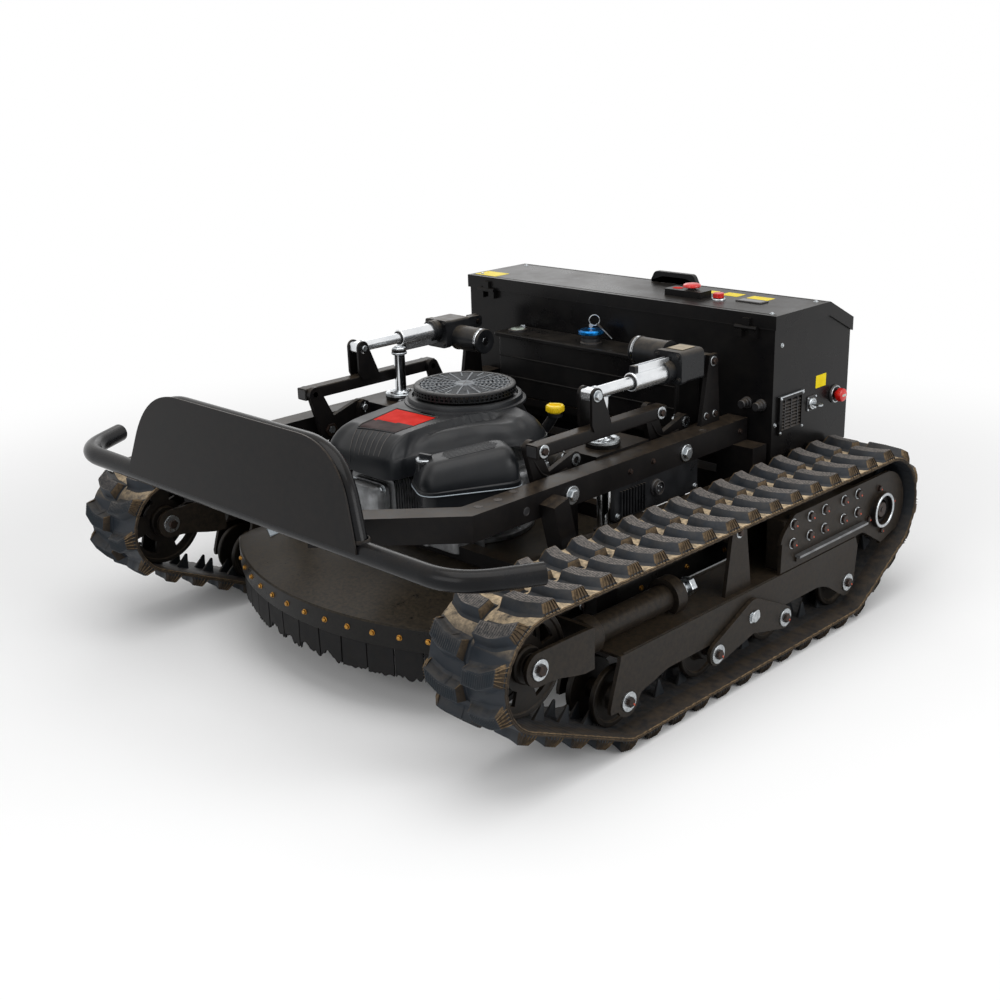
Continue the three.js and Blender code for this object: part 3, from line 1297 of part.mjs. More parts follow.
function hingeKnuckle(x, width, onLid) {
  const [z0, z1] = onLid ? [lidLow + box.knuckle + fit, lidLow + box.leaf] : [lidLow - box.leaf, lidLow - fit];
  const face = onLid ? box.front - fit - box.lidSheet : box.front;
  return [
    bar('x', box.knuckle, x - width / 2, x + width / 2, [box.hingeY, lidLow], smallSides),
    block([x - width / 2, box.hingeY - box.knuckle / 2, Math.min(z0, lidLow)],
      [x + width / 2, box.hingeY + box.knuckle / 2, Math.max(z1, lidLow)]),
    block([x - width / 2, box.hingeY - box.knuckle / 2, z0], [x + width / 2, face + bite, z1]),
  ];
}

function controlBox() {
  const shell = cut(sidePlate(boxOutline(0, 0), -box.halfWidth, box.halfWidth), [
    sidePlate(boxOutline(box.wall, overrun), box.wall - box.halfWidth, box.halfWidth - box.wall),
  ]);
  const x = box.halfWidth;
  const [halfVent, halfHigh] = [box.ventWidth / 2, box.ventHeight / 2];
  const vent = cut(block([x - bite, box.ventY - halfVent, box.ventZ - halfHigh],
    [x + box.ventProud, box.ventY + halfVent, box.ventZ + halfHigh]), [
    block([x, box.ventY - halfVent + box.ventFrame, box.ventZ - halfHigh + box.ventFrame],
      [x + overrun + box.ventProud, box.ventY + halfVent - box.ventFrame, box.ventZ + halfHigh - box.ventFrame]),
  ]);
  const knuckles = [];
  for (const sign of [1, -1]) {
    for (const step of [1, -1]) {
      knuckles.push(...hingeKnuckle(sign * box.hingeX + step * (box.knuckleWidth + fit), box.knuckleWidth, false));
    }
  }
  const whole = join([
    shell,
    vent,
    ...knuckles,
    bar('x', sideStop.ring, x - bite, x + sideStop.ringWidth, [sideStop.y, sideStop.z]),
    bar('x', keySwitch.ring, x - bite, x + keySwitch.ringWidth, [keySwitch.y, keySwitch.z]),
  ]);
  const inside = x - box.wall - overrun;
  return cut(whole, [
    bar('x', sideStop.stem + 2 * fit, inside, x + sideStop.ringWidth + overrun, [sideStop.y, sideStop.z]),
    bar('x', keySwitch.barrel + 2 * fit, inside, x + keySwitch.ringWidth + overrun, [keySwitch.y, keySwitch.z]),
  ]);
}

function boxLid() {
  const [y0, y1] = [box.front - fit - box.lidSheet, box.rear + fit + box.lidSheet];
  const half = box.halfWidth + fit + box.lidSheet;
  const outline = [
    [y0, lidLow], [y0, lidUnder + box.lidSheet], [box.ridge, lidUnder + box.lidSheet],
    [y1, eavesUnder + box.lidSheet], [y1, eavesUnder - box.lidSkirt], [box.ridge, lidLow],
  ].reverse();
  const room = [
    [box.front - fit, lidLow - overrun], [box.front - fit, lidUnder], [box.ridge, lidUnder],
    [box.rear + fit, eavesUnder], [box.rear + fit, eavesUnder - box.lidSkirt - overrun], [box.ridge, lidLow - overrun],
  ].reverse();
  const top = lidUnder + box.lidSheet;
  const whole = join([
    cut(sidePlate(outline, -half, half), [
      sidePlate(room, box.lidSheet - half, half - box.lidSheet),
    ]),
    block([stopSwitch.x - stopSwitch.base / 2, stopSwitch.y - stopSwitch.baseWidth / 2, top - bite],
      [stopSwitch.x + stopSwitch.base / 2, stopSwitch.y + stopSwitch.baseWidth / 2, top + stopSwitch.baseHeight]),
    ...[1, -1].flatMap((sign) => hingeKnuckle(sign * box.hingeX, box.knuckleWidth, true)),
  ]);
  const high = top + stopSwitch.baseHeight + overrun;
  return cut(whole, [
    bar('z', stopSwitch.stem + 2 * fit, lidUnder - overrun, high, [stopSwitch.capX, stopSwitch.y]),
    bar('z', pushButton.stem + 2 * fit, lidUnder - overrun, high, [pushButton.x, pushButton.y]),
  ]);
}

// A cap on a stem: the stem goes through a hole in the panel, and the cap stands clear of it by its travel.
function pressButton(button, panel) {
  return join([
    bar('z', button.cap, button.travel + fit, button.travel + button.capHeight, [0, 0]),
    bar('z', button.stem, -panel - overrun, button.travel + bite, [0, 0]),
  ]);
}

const lidTop = lidUnder + box.lidSheet;
add('control_box', controlBox(), blackPaint());
add('box_lid', boxLid(), blackPaint());
add('emergency_button', pressButton(stopSwitch, stopSwitch.baseHeight + box.lidSheet), redPlastic(),
  [stopSwitch.capX, stopSwitch.y, lidTop + stopSwitch.baseHeight]);
add('push_button', pressButton(pushButton, box.lidSheet), redPlastic(), [pushButton.x, pushButton.y, lidTop]);

function sideButton() {
  const ring = sideStop.ringWidth;
  return join([
    bar('x', sideStop.cap, ring + sideStop.travel + fit, ring + sideStop.capWidth, [0, 0]),
    bar('x', sideStop.stem, -box.wall - overrun, ring + sideStop.travel + bite, [0, 0]),
  ]);
}

// The key switch barrel with the flat bow of its key.
function keyBarrel() {
  const out = keySwitch.ringWidth + fit;
  const [high, thick] = [keySwitch.bowHeight / 2, keySwitch.bowWidth / 2];
  return join([
    bar('x', keySwitch.barrel, -box.wall - overrun, out + keySwitch.barrelWidth / 2, [0, 0]),
    block([out, -high, -thick], [out + keySwitch.bow, high, thick]),
  ]);
}

add('side_stop_button', sideButton(), redPlastic(), [box.halfWidth, sideStop.y, sideStop.z]);
add('key_switch', keyBarrel(), bareSteel(), [box.halfWidth, keySwitch.y, keySwitch.z]);

// The lid's handle: a bar on two feet.
function lidHandle() {
  const half = handle.bar / 2;
  return join([
    block([-handle.half, -half, fit], [-handle.half + handle.foot, half, handle.rise]),
    block([handle.half - handle.foot, -half, fit], [handle.half, half, handle.rise]),
    block([-handle.half, -half, handle.rise - handle.bar], [handle.half, half, handle.rise]),
  ]);
}

add('lid_handle', lidHandle(), blackPlastic(), [handle.x, handle.y, lidTop]);

add('battery_pack', block(
  [-battery.halfWidth, battery.front, box.bottom + box.wall + fit],
  [battery.halfWidth, battery.rear, box.bottom + box.wall + battery.height],
), blackPlastic());

const outline = new THREE.Box3().setFromObject(machine);
machine.position.y = -(outline.min.y + outline.max.y) / 2;

export default mower;
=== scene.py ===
import math
import random

import bmesh
import bpy
from mathutils import Matrix, Vector
from mathutils.geometry import tessellate_polygon


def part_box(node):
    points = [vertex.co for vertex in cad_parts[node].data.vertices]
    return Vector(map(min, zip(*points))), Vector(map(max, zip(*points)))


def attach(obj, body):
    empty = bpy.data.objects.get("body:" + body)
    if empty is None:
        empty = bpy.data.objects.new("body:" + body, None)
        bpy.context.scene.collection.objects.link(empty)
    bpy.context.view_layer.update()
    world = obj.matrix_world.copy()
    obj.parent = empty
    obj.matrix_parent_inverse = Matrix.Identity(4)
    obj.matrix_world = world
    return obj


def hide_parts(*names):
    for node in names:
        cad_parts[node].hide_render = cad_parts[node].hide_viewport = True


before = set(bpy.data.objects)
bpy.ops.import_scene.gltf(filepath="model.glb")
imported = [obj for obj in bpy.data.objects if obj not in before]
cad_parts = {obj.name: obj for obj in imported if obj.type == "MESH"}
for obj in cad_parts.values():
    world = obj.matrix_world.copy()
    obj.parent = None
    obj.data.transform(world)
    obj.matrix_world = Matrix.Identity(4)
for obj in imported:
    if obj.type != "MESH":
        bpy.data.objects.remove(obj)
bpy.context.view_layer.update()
scene = bpy.context.scene
random.seed(7)

# Lengths below are millimetres of the machine itself, and Y counts from its own datum, which the battery's place
# gives.
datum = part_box("battery_pack")[0][1] * 1000 - 730
pi = math.pi

# Axes across the machine as (y, z), then the crankshaft's y and the place of the right-hand chrome post
frontWheelAxis, rearWheelAxis = (26, 88), (763, 88)
bogieAxis, carrierAxis = (400, 131), (380, 304.7)
idlerAxis, sprocketAxis = (-203, 234), (885, 221)
crankY = 234
guideX, guideY = 302, 319.93


# Nodes and colours

def toLinear(code):
    parts = [int(code[i:i + 2], 16) / 255 for i in (1, 3, 5)]
    return tuple(c / 12.92 if c <= 0.04045 else ((c + 0.055) / 1.055) ** 2.4 for c in parts) + (1,)


def addNode(tree, kind, values={}, links={}, **settings):
    node = tree.nodes.new("ShaderNode" + kind)
    for name, value in settings.items():
        setattr(node, name, value)
    for key, value in values.items():
        node.inputs[key].default_value = value
    for key, socket in links.items():
        tree.links.new(socket, node.inputs[key])
    return node


def blendColours(tree, share, a, b):
    ends = {key: value for key, value in ((6, a), (7, b)) if isinstance(value, tuple)}
    wires = {key: value for key, value in ((0, share), (6, a), (7, b)) if not isinstance(value, (tuple, float))}
    if isinstance(share, float):
        ends[0] = share
    return addNode(tree, "Mix", ends, wires, data_type="RGBA").outputs[2]


def makeFinish(name, colour, shade, roughness, spread=0.05, cloud=60, grain=2, bump=0.02, metallic=0.0, ior=1.5,
               specular=0.5, coat=0.0, dustAndHighlight=None, dustAndHighlightShare=0.0, dustAndHighlightFrom=0.2, film=0.0, speck=14):
    # cloud, grain and speck are pattern sizes in mm, bump is the grain's height in mm
    material = bpy.data.materials.new(name)
    material.use_nodes = True
    tree = material.node_tree
    tree.nodes.clear()
    where = addNode(tree, "TexCoord").outputs["Object"]
    clouds = addNode(tree, "TexNoise", {"Scale": 1000 / cloud, "Detail": 5.0}, {"Vector": where})
    patchy = addNode(tree, "MapRange", {1: 0.35, 2: 0.68}, {0: clouds.outputs["Fac"]}).outputs[0]
    base = blendColours(tree, patchy, toLinear(colour), toLinear(shade))
    rough = addNode(tree, "MapRange", {3: roughness - spread, 4: roughness + spread}, {0: patchy}).outputs[0]
    if dustAndHighlight:
        # dust lies thickest on what faces up, and a thin film stays on the rest; on the belt's rubber this up-facing
        # layer is also a painted highlight
        up = addNode(tree, "SeparateXYZ", {}, {0: addNode(tree, "NewGeometry").outputs["Normal"]}).outputs[2]
        level = addNode(tree, "MapRange", {1: dustAndHighlightFrom, 2: 1.0, 3: film, 4: dustAndHighlightShare}, {0: up})
        specks = addNode(tree, "TexNoise", {"Scale": 1000 / speck, "Detail": 8.0, "Roughness": 0.7}, {"Vector": where})
        patch = addNode(tree, "MapRange", {1: 0.3, 2: 0.62}, {0: specks.outputs["Fac"]})
        share = addNode(tree, "Math", {}, {0: level.outputs[0], 1: patch.outputs[0]}, operation="MULTIPLY").outputs[0]
        base = blendColours(tree, share, base, toLinear(dustAndHighlight))
        rough = addNode(tree, "MapRange", {4: 0.85}, {0: share, 3: rough}).outputs[0]
    grains = addNode(tree, "TexNoise", {"Scale": 1000 / grain, "Detail": 3.0}, {"Vector": where})
    relief = addNode(tree, "Bump", {"Strength": 1.0, "Distance": bump / 1000}, {"Height": grains.outputs["Fac"]})
    shader = addNode(tree, "BsdfPrincipled", {"Metallic": metallic, "IOR": ior, "Specular IOR Level": specular,
                                              "Coat Weight": coat, "Coat Roughness": 0.08},
                     {"Base Color": base, "Roughness": rough, "Normal": relief.outputs[0]})
    addNode(tree, "OutputMaterial", {}, {0: shader.outputs[0]})
    return material


earth = "#7d6a52"
finishes = {
    # powder-coated steel, sprayed and baked: black with a soft gloss and a fine orange peel, dusty on top
    "coat": makeFinish(
        "powderCoatedSteel", "#09090b", "#100f10", 0.36, cloud=90, grain=2.2, bump=0.03, specular=0.14, dustAndHighlight=earth,
        dustAndHighlightShare=0.16, film=0.015),
    # the same coat on the running gear, with a film of dry earth that turns it brown
    "gearCoat": makeFinish(
        "powderCoatedSteelDusty", "#11100f", "#191614", 0.42, cloud=120, grain=2.2, bump=0.03, specular=0.16,
        dustAndHighlight=earth, dustAndHighlightShare=0.2, film=0.07, speck=9),
    # the deck's coat: shinier, speckled with dry earth on its flat rim
    "deckCoat": makeFinish(
        "powderCoatedPressing", "#0e0f10", "#161617", 0.3, cloud=140, grain=2.2, bump=0.03, specular=0.15,
        dustAndHighlight="#776852", dustAndHighlightShare=0.22, film=0.03, speck=7),
    # folded sheet steel of the box, coated smoother, wiped so that it is cleaner
    "boxCoat": makeFinish(
        "powderCoatedSheet", "#09090b", "#0e0e0f", 0.3, cloud=160, grain=1.6, specular=0.14, dustAndHighlight="#6a6052",
        dustAndHighlightShare=0.1, film=0.02, speck=40),
    # gloss enamel on bent tube: longer highlights than the powder coat
    "tubeCoat": makeFinish(
        "enamelledTube", "#0a0b0d", "#101114", 0.24, cloud=70, grain=3, dustAndHighlight=earth, dustAndHighlightShare=0.04, specular=0.16),
    # cast iron wheels, brush painted: darker and rougher, earth in the corners
    "wheelCoat": makeFinish(
        "paintedCastIron", "#0c0b0b", "#141210", 0.45, cloud=40, grain=4, bump=0.08, specular=0.16, dustAndHighlight=earth,
        dustAndHighlightShare=0.22, film=0.04),
    # carbon-filled rubber, moulded: matt black with a painted blue tint that stands for the sky's reflection, a little
    # earth on it
    "rubber": makeFinish(
        "mouldedRubber", "#0f161d", "#1a222b", 0.6, cloud=30, grain=3, bump=0.1, specular=0.3, dustAndHighlight="#7d705f",
        dustAndHighlightShare=0.2, film=0.02),
    # the lugs' tops: scuffed grey by the ground, and paler where they face up, a painted highlight of sunlight
    "rubberScuffAndHighlight": makeFinish(
        "mouldedRubberScuffAndPaintedHighlight", "#1a2127", "#26292d", 0.75, cloud=18, bump=0.25, specular=0.2, dustAndHighlight="#928a83",
        dustAndHighlightShare=0.85, speck=5, dustAndHighlightFrom=0.4),
    "rubberInner": makeFinish(
        "mouldedRubberInside", "#181d22", "#1f2124", 0.5, cloud=45, grain=3, bump=0.08, specular=0.2,
        dustAndHighlight="#6f5d47", dustAndHighlightShare=0.3, film=0.02, speck=20),
    # the belt's outer skin between the lugs: dry earth lies on its upper run, its paleness there partly a painted
    # highlight of sunlight, and the blue-grey of its base is a painted sheen
    "rubberEarthAndHighlight": makeFinish(
        "mouldedRubberEarthAndPaintedHighlight", "#121a22", "#20242a", 0.6, cloud=26, grain=2.5, bump=0.2, specular=0.3,
        dustAndHighlight="#d2bb99", dustAndHighlightShare=1.0, speck=12, dustAndHighlightFrom=0.5),
    # the deck's slit skirt: newer rubber, nearly black
    "skirtRubber": makeFinish(
        "cutRubberSheet", "#0d0e10", "#151618", 0.6, cloud=40, bump=0.06, specular=0.15, dustAndHighlight=earth, dustAndHighlightShare=0.2,
        film=0.02),
    # lug ends and belt edges, where earth sticks between the flutes
    "rubberFoot": makeFinish(
        "mouldedRubberFoot", "#1d1b1a", "#2c2620", 0.8, cloud=12, bump=0.2, specular=0.2, dustAndHighlight="#8c7557",
        dustAndHighlightShare=0.9, film=0.06, speck=8, dustAndHighlightFrom=0.0),
    # polypropylene, moulded in a spark-eroded tool: satin, with a fine even texture
    "cowlPlastic": makeFinish(
        "mouldedPolypropylene", "#131518", "#191b1e", 0.38, cloud=80, grain=1.2, bump=0.03, dustAndHighlight="#6a6258",
        dustAndHighlightShare=0.07, speck=25, specular=0.24),
    # glass-filled nylon: harder, a little shinier
    "nylon": makeFinish(
        "mouldedNylon", "#111214", "#18191b", 0.36, cloud=30, grain=1.2, dustAndHighlight="#5d564d", dustAndHighlightShare=0.15,
        specular=0.2),
    # the screen's ribs, rubbed and dusty: lighter greys
    "nylonGrey": makeFinish(
        "mouldedNylonGrey", "#3a3d40", "#2c2e31", 0.45, cloud=30, grain=1.2, bump=0.03, specular=0.25),
    "nylonWorn": makeFinish(
        "mouldedNylonWorn", "#6f7377", "#585c60", 0.5, cloud=20, grain=1.2, bump=0.03, specular=0.25),
    # aluminium, die cast and left bare: grey and grainy with oily patches; on the sprocket plate's ledge this grey is a
    # painted highlight
    "castAluminiumAndHighlight": makeFinish(
        "dieCastAluminiumAndPaintedHighlight", "#8e9092", "#6c6e70", 0.45, metallic=0.85, cloud=25, grain=1.8, bump=0.12,
        dustAndHighlight="#5a5147", dustAndHighlightShare=0.45, film=0.12),
    # zinc-plated steel: bright bluish silver
    "zinc": makeFinish("zincPlatedSteel", "#c3c7ca", "#9ea3a6", 0.3, metallic=1.0, cloud=6, grain=1.5, bump=0.03),
    # oiled black screws with dabs of rust
    "blackSteel": makeFinish(
        "oiledBlackSteel", "#1f1c1b", "#3a2a22", 0.4, metallic=0.7, cloud=5, grain=1.5, bump=0.05),
    # hard chrome, ground and polished: the mirror of the posts
    "chrome": makeFinish(
        "hardChrome", "#d9dbdd", "#c6c9cc", 0.1, spread=0.03, metallic=1.0, cloud=50, grain=1.0, bump=0.004),
    # aluminium tube, bead blasted and anodised: silky silver
    "anodised": makeFinish(
        "anodisedAluminium", "#e4e6e8", "#d2d5d8", 0.26, metallic=0.9, cloud=40, grain=1.0, bump=0.002),
    "blueAnodised": makeFinish(
        "blueAnodisedAluminium", "#1b7fc4", "#1266a6", 0.18, metallic=0.9, cloud=20, grain=1.0, bump=0.005),
    # machined zamak with a black coat: smooth and a little shiny
    "blackCast": makeFinish(
        "coatedZincCasting", "#17181a", "#202123", 0.32, cloud=30, grain=1.5, bump=0.03, dustAndHighlight="#7a6c58",
        dustAndHighlightShare=0.3, specular=0.2),
    # yellow chromated screws
    "brassy": makeFinish(
        "yellowChromatedSteel", "#c09045", "#8d6530", 0.35, metallic=1.0, cloud=4, grain=1.0, bump=0.03),
    # ABS and polyethylene, moulded glossy in one colour
    "redPlastic": makeFinish("mouldedRedAbs", "#cc1712", "#b8120e", 0.28, cloud=15, grain=1, bump=0.01, ior=1.54),
    "yellowPlastic": makeFinish("mouldedYellowPolyethylene", "#f0cf12", "#e4bf0c", 0.38, cloud=15, grain=1, ior=1.51),
    # vinyl film: flat colour with a faint sheen
    "yellowVinyl": makeFinish("yellowVinyl", "#e6cf00", "#dcc200", 0.4, cloud=20, grain=1, bump=0.005, specular=0.1),
    "redVinyl": makeFinish("redVinyl", "#c41c0c", "#b4180a", 0.6, cloud=30, grain=1, bump=0.005, specular=0.06),
    "darkVinyl": makeFinish("darkVinyl", "#2a1513", "#1d1211", 0.55, cloud=30, grain=1, bump=0.005, specular=0.08),
    # dabs of paint that mark a tightened bolt
    "markPaint": makeFinish("boltMarkingPaint", "#c24a26", "#a83c1e", 0.5, cloud=3, grain=1, bump=0.05),
    # pale grey vinyl; on the air filter's seam it is a painted highlight
    "greyVinylAndHighlight": makeFinish("greyVinylAndHighlight", "#aeb8bf", "#98a3ab", 0.35, cloud=40, grain=1, bump=0.005),
    # clear acrylic over a pale dial
    "gauge": makeFinish("paleAcrylic", "#b4bdb2", "#9aa69c", 0.15, cloud=12, grain=1, bump=0.005, coat=0.6, ior=1.49),
    "beige": makeFinish("beigeVinyl", "#a3957c", "#8d8069", 0.4, cloud=12, grain=1, bump=0.005),
    "glass": makeFinish(
        "smokedAcrylic", "#08090a", "#101214", 0.08, spread=0.02, cloud=20, grain=1, bump=0.002, ior=1.49),
    # extruded and cured rubber of plugs and glands: satin black, a little dusty; the same black is painted shade in
    # holes, grooves, an open tube end and under the fan screen
    "blackRubberAndShade": makeFinish(
        "extrudedRubberAndPaintedShade", "#151517", "#202022", 0.45, cloud=15, grain=1.2, bump=0.04, dustAndHighlight=earth, dustAndHighlightShare=0.2),
}
print("finishes:", len(finishes))


# Mesh tools. A place is a matrix whose local Z runs along a bar or out of a plate.

def alongX(y=0, z=0, x=0):
    return Matrix(((0, 0, 1, x), (1, 0, 0, y), (0, 1, 0, z), (0, 0, 0, 1)))


def alongY(x=0, z=0, y=0):
    return Matrix(((1, 0, 0, x), (0, 0, 1, y), (0, -1, 0, z), (0, 0, 0, 1)))


def alongZ(x=0, y=0, z=0):
    return Matrix.Translation((x, y, z))


def outward(way, y, z, x):
    # looks out of the side that way names, 1 or -1
    return alongX(y, z, x) @ Matrix.Rotation(0 if way > 0 else pi, 4, "X")


def frontward(x, z, y):
    return alongY(x, z, y) @ Matrix.Rotation(pi, 4, "X")


# for a plate that stands across the machine: its outline is in X and Z
standing = Matrix(((1, 0, 0, 0), (0, 0, 1, 0), (0, 1, 0, 0), (0, 0, 0, 1)))


def aimed(start, end):
    way = Vector(end) - Vector(start)
    return Matrix.Translation(start) @ way.to_track_quat("Z", "Y").to_matrix().to_4x4()


def addFaces(shape, corners, slot):
    for points in corners:
        face = shape.faces.new(points)
        face.material_index = slot


def addPlate(shape, outline, low, high, place, holes=(), slot=0):
    loops = [list(outline)] + [list(hole) for hole in holes]
    levels = [[[shape.verts.new(place @ Vector((a, b, c))) for a, b in loop] for loop in loops] for c in (low, high)]
    if holes:
        triangles = tessellate_polygon([[Vector((a, b, 0)) for a, b in loop] for loop in loops])
        for level in levels:
            flat = [v for loop in level for v in loop]
            addFaces(shape, [[flat[i] for i in t] for t in triangles if len(set(t)) == 3], slot)
    else:
        addFaces(shape, [levels[0][0], levels[1][0]], slot)
    for lower, upper in zip(*levels):
        count = len(lower)
        addFaces(shape, [(lower[i - 1], lower[i], upper[i], upper[i - 1]) for i in range(count)], slot)


def addLoft(shape, rings, slot=0, closed=False):
    made = [[shape.verts.new(point) for point in ring] for ring in rings]
    count = len(made[0])
    for a, b in zip(made, made[1:] + made[:1] if closed else made[1:]):
        addFaces(shape, [(a[i - 1], a[i], b[i], b[i - 1]) for i in range(count)], slot)
    if not closed:
        addFaces(shape, [made[0], made[-1]], slot)
    return made


def addRound(shape, profile, place, sides=48, slot=0):
    # profile is (radius, along) from end to end, or back to its start for a ring
    closed = profile[0] == profile[-1]
    rings = []
    for radius, along in profile[:-1] if closed else profile:
        turns = [2 * pi * i / sides for i in range(sides)] if radius else [0]
        rings.append([shape.verts.new(place @ Vector((radius * math.cos(t), radius * math.sin(t), along)))
                      for t in turns])
    for a, b in zip(rings, rings[1:] + rings[:1] if closed else rings[1:]):
        for i in range(sides):
            corners = [a[i - 1 if len(a) > 1 else 0], a[i if len(a) > 1 else 0],
                       b[i if len(b) > 1 else 0], b[i - 1 if len(b) > 1 else 0]]
            addFaces(shape, [list(dict.fromkeys(corners))], slot)


def addRing(shape, inner, outer, low, high, place, sides=48, slot=0):
    addRound(shape, [(inner, low), (outer, low), (outer, high), (inner, high), (inner, low)], place, sides, slot)


def addRod(shape, start, end, radius, slot=0, sides=32, lip=0.0):
    length = (Vector(end) - Vector(start)).length
    profile = [(0, 0), (radius - lip, 0), (radius, lip), (radius, length - lip), (radius - lip, length), (0, length)]
    if not lip:
        profile = [(0, 0), (radius, 0), (radius, length), (0, length)]
    addRound(shape, profile, aimed(start, end), sides, slot)


def addBlock(shape, low, high, slot=0):
    (x0, y0, z0), (x1, y1, z1) = low, high
    addPlate(shape, [(x0, y0), (x1, y0), (x1, y1), (x0, y1)], z0, z1, alongZ(), slot=slot)


def turns(count, first=0.0):
    return [2 * pi * number / count + first for number in range(count)]


def spun(place, count, first=0.0):
    return [place @ Matrix.Rotation(turn, 4, "Z") for turn in turns(count, first)]


def circle(radius, centre=(0, 0), steps=48, start=0.0, end=2 * pi):
    closed = end - start > 6.28
    count = steps if closed else steps + 1
    return [(centre[0] + radius * math.cos(start + (end - start) * i / steps),
             centre[1] + radius * math.sin(start + (end - start) * i / steps)) for i in range(count)]


def rounded(corners, steps=6):
    # corners are (a, b, radius); a corner with a radius becomes a curve
    points = []
    for i, (a, b, radius) in enumerate(corners):
        here = Vector((a, b))
        before = Vector(corners[i - 1][:2]) - here
        after = Vector(corners[(i + 1) % len(corners)][:2]) - here
        if not radius:
            points.append((a, b))
            continue
        start, end = here + before.normalized() * radius, here + after.normalized() * radius
        for k in range(steps + 1):
            t = k / steps
            point = start * (1 - t) ** 2 + here * 2 * t * (1 - t) + end * t ** 2
            points.append((point.x, point.y))
    return points


def oblong(x0, y0, x1, y1, soft, steps=6, farSoft=None):
    # farSoft is the corners' radius at y1 where it differs from that at y0
    far = soft if farSoft is None else farSoft
    return rounded([(x0, y0, soft), (x1, y0, soft), (x1, y1, far), (x0, y1, far)], steps)


def link(a, radiusA, b, radiusB, steps=14):
    along = math.atan2(b[1] - a[1], b[0] - a[0])
    spread = math.acos((radiusA - radiusB) / math.hypot(b[0] - a[0], b[1] - a[1]))
    return (circle(radiusB, b, steps, along - spread, along + spread)
            + circle(radiusA, a, steps, along + spread, along + 2 * pi - spread))


def bentPath(points, bend, steps=10):
    corners = [Vector(p) for p in points]
    path = [corners[0]]
    for before, here, after in zip(corners, corners[1:], corners[2:]):
        start, end = here + (before - here).normalized() * bend, here + (after - here).normalized() * bend
        path += [start * (1 - t) ** 2 + here * 2 * t * (1 - t) + end * t ** 2
                 for t in [k / steps for k in range(steps + 1)]]
    return path + [corners[-1]]


def addTube(shape, path, radius, slot=0, sides=24):
    path = [Vector(p) for p in path]
    ways = [(b - a).normalized() for a, b in zip(path, path[1:])]
    side = ways[0].orthogonal().normalized()
    rings = []
    for i, point in enumerate(path):
        before, after = ways[max(i - 1, 0)], ways[min(i, len(ways) - 1)]
        way = (before + after).normalized()
        side = (side - way * side.dot(way)).normalized()
        up = way.cross(side)
        rings.append([point + (side * math.cos(t) + up * math.sin(t)) * radius
                      for t in [2 * pi * k / sides for k in range(sides)]])
    addLoft(shape, rings, slot)


def addBolt(shape, place, size, slots=(0, 0)):
    # washer and chamfered hexagon head, both standing out along the place's Z
    washer, thick, across, height = size
    if washer:
        addRound(shape, [(0, -0.2), (washer, -0.2), (washer, thick - 0.5), (washer - 0.5, thick), (0, thick)], place,
                 32, slots[0])
    head = [(across / math.sqrt(3), 0.0), (across / math.sqrt(3), 0.8), (across / 2 * 0.97, 1.0)]
    rings = [[place @ Vector((r * math.cos(pi * i / 3), r * math.sin(pi * i / 3), thick + height * s))
              for i in range(6)] for r, s in head]
    addLoft(shape, rings, slots[1])


def addMark(shape, place, size, slot):
    # a stroke of paint from a bolt's head down its side and over the washer
    washer, thick, across, height = size
    lean, top = place @ Matrix.Rotation(-0.7, 4, "Z"), thick + height
    rings = [[lean @ Vector((a, b, up + h)) for b, h in ((-1.6, -0.7), (1.6, -0.7), (1.3, 0.35), (-1.3, 0.35))]
             for a, up in ((across * 0.2, top), (across * 0.5, top), (across * 0.56, top * 0.6),
                           (across * 0.62, thick + 0.2), (washer - 0.4, thick + 0.1), (washer + 1.4, 0.3))]
    addLoft(shape, rings, slot)


def addMarkedBolt(shape, place, size, turn=0.0, slots=(1, 2)):
    addBolt(shape, place @ Matrix.Rotation(turn, 4, "Z"), size, slots)
    addMark(shape, place, size, 3)


# washer radius and thickness, hexagon across its flats and its height
bolts = {"axle": (19, 3.4, 17, 6.4), "bogie": (19, 3, 17, 6), "collar": (8, 1, 11, 5.6),
         "plate": (11.4, 1.2, 16.5, 5.8), "deck": (6, 1, 8, 3.6), "cover": (9, 1, 11, 7)}
fixedBodies = ("frame", "mower_deck", "crankshaft", "lid", "oil_cap", "fuel_cap")
pieces = []


def makePiece(shape, name, body, materials, stands=(), edge=0.5, steps=2, angle=32):
    bmesh.ops.recalc_face_normals(shape, faces=shape.faces)
    for vert in shape.verts:
        vert.co = Vector((vert.co.x, vert.co.y + datum, vert.co.z)) / 1000
    mesh = bpy.data.meshes.new(name)
    shape.to_mesh(mesh)
    shape.free()
    for key in materials:
        mesh.materials.append(finishes[key])
    mesh.shade_smooth()
    mesh.set_sharp_from_angle(angle=math.radians(angle))
    piece = bpy.data.objects.new(name, mesh)
    scene.collection.objects.link(piece)
    if edge:
        bevel = piece.modifiers.new("edges", "BEVEL")
        bevel.width = edge / 1000
        bevel.segments = steps
        bevel.limit_method = "ANGLE"
        bevel.angle_limit = math.radians(angle)
        bevel.harden_normals = True
    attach(piece, body)
    if stands:
        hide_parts(*stands)
    pieces.append(name)


def makePair(shape, name, body, materials, stands=(), **options):
    # the right-hand piece and its mirror image
    left = shape.copy()
    for vert in left.verts:
        vert.co.x = -vert.co.x
    for side, half in (("right", shape), ("left", left)):
        carrier = body if body in fixedBodies else f"{body}_{side}"
        makePiece(half, f"{name}_{side}", carrier, materials, [f"{node}_{side}" for node in stands], **options)


def dressNode(name, key, edge=0.8, steps=2):
    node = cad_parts[name]
    if not node.material_slots:
        node.data.materials.append(finishes[key])
    for slot in node.material_slots:
        slot.material = finishes[key]
    if edge:
        bevel = node.modifiers.new("edges", "BEVEL")
        bevel.width = edge / 1000
        bevel.segments = steps
        bevel.limit_method = "ANGLE"
        bevel.angle_limit = math.radians(32)
        bevel.harden_normals = True


# Rubber tracks: a ribbed carcass, two staggered rows of dog-leg lugs with flared feet, and pairs of guide fingers

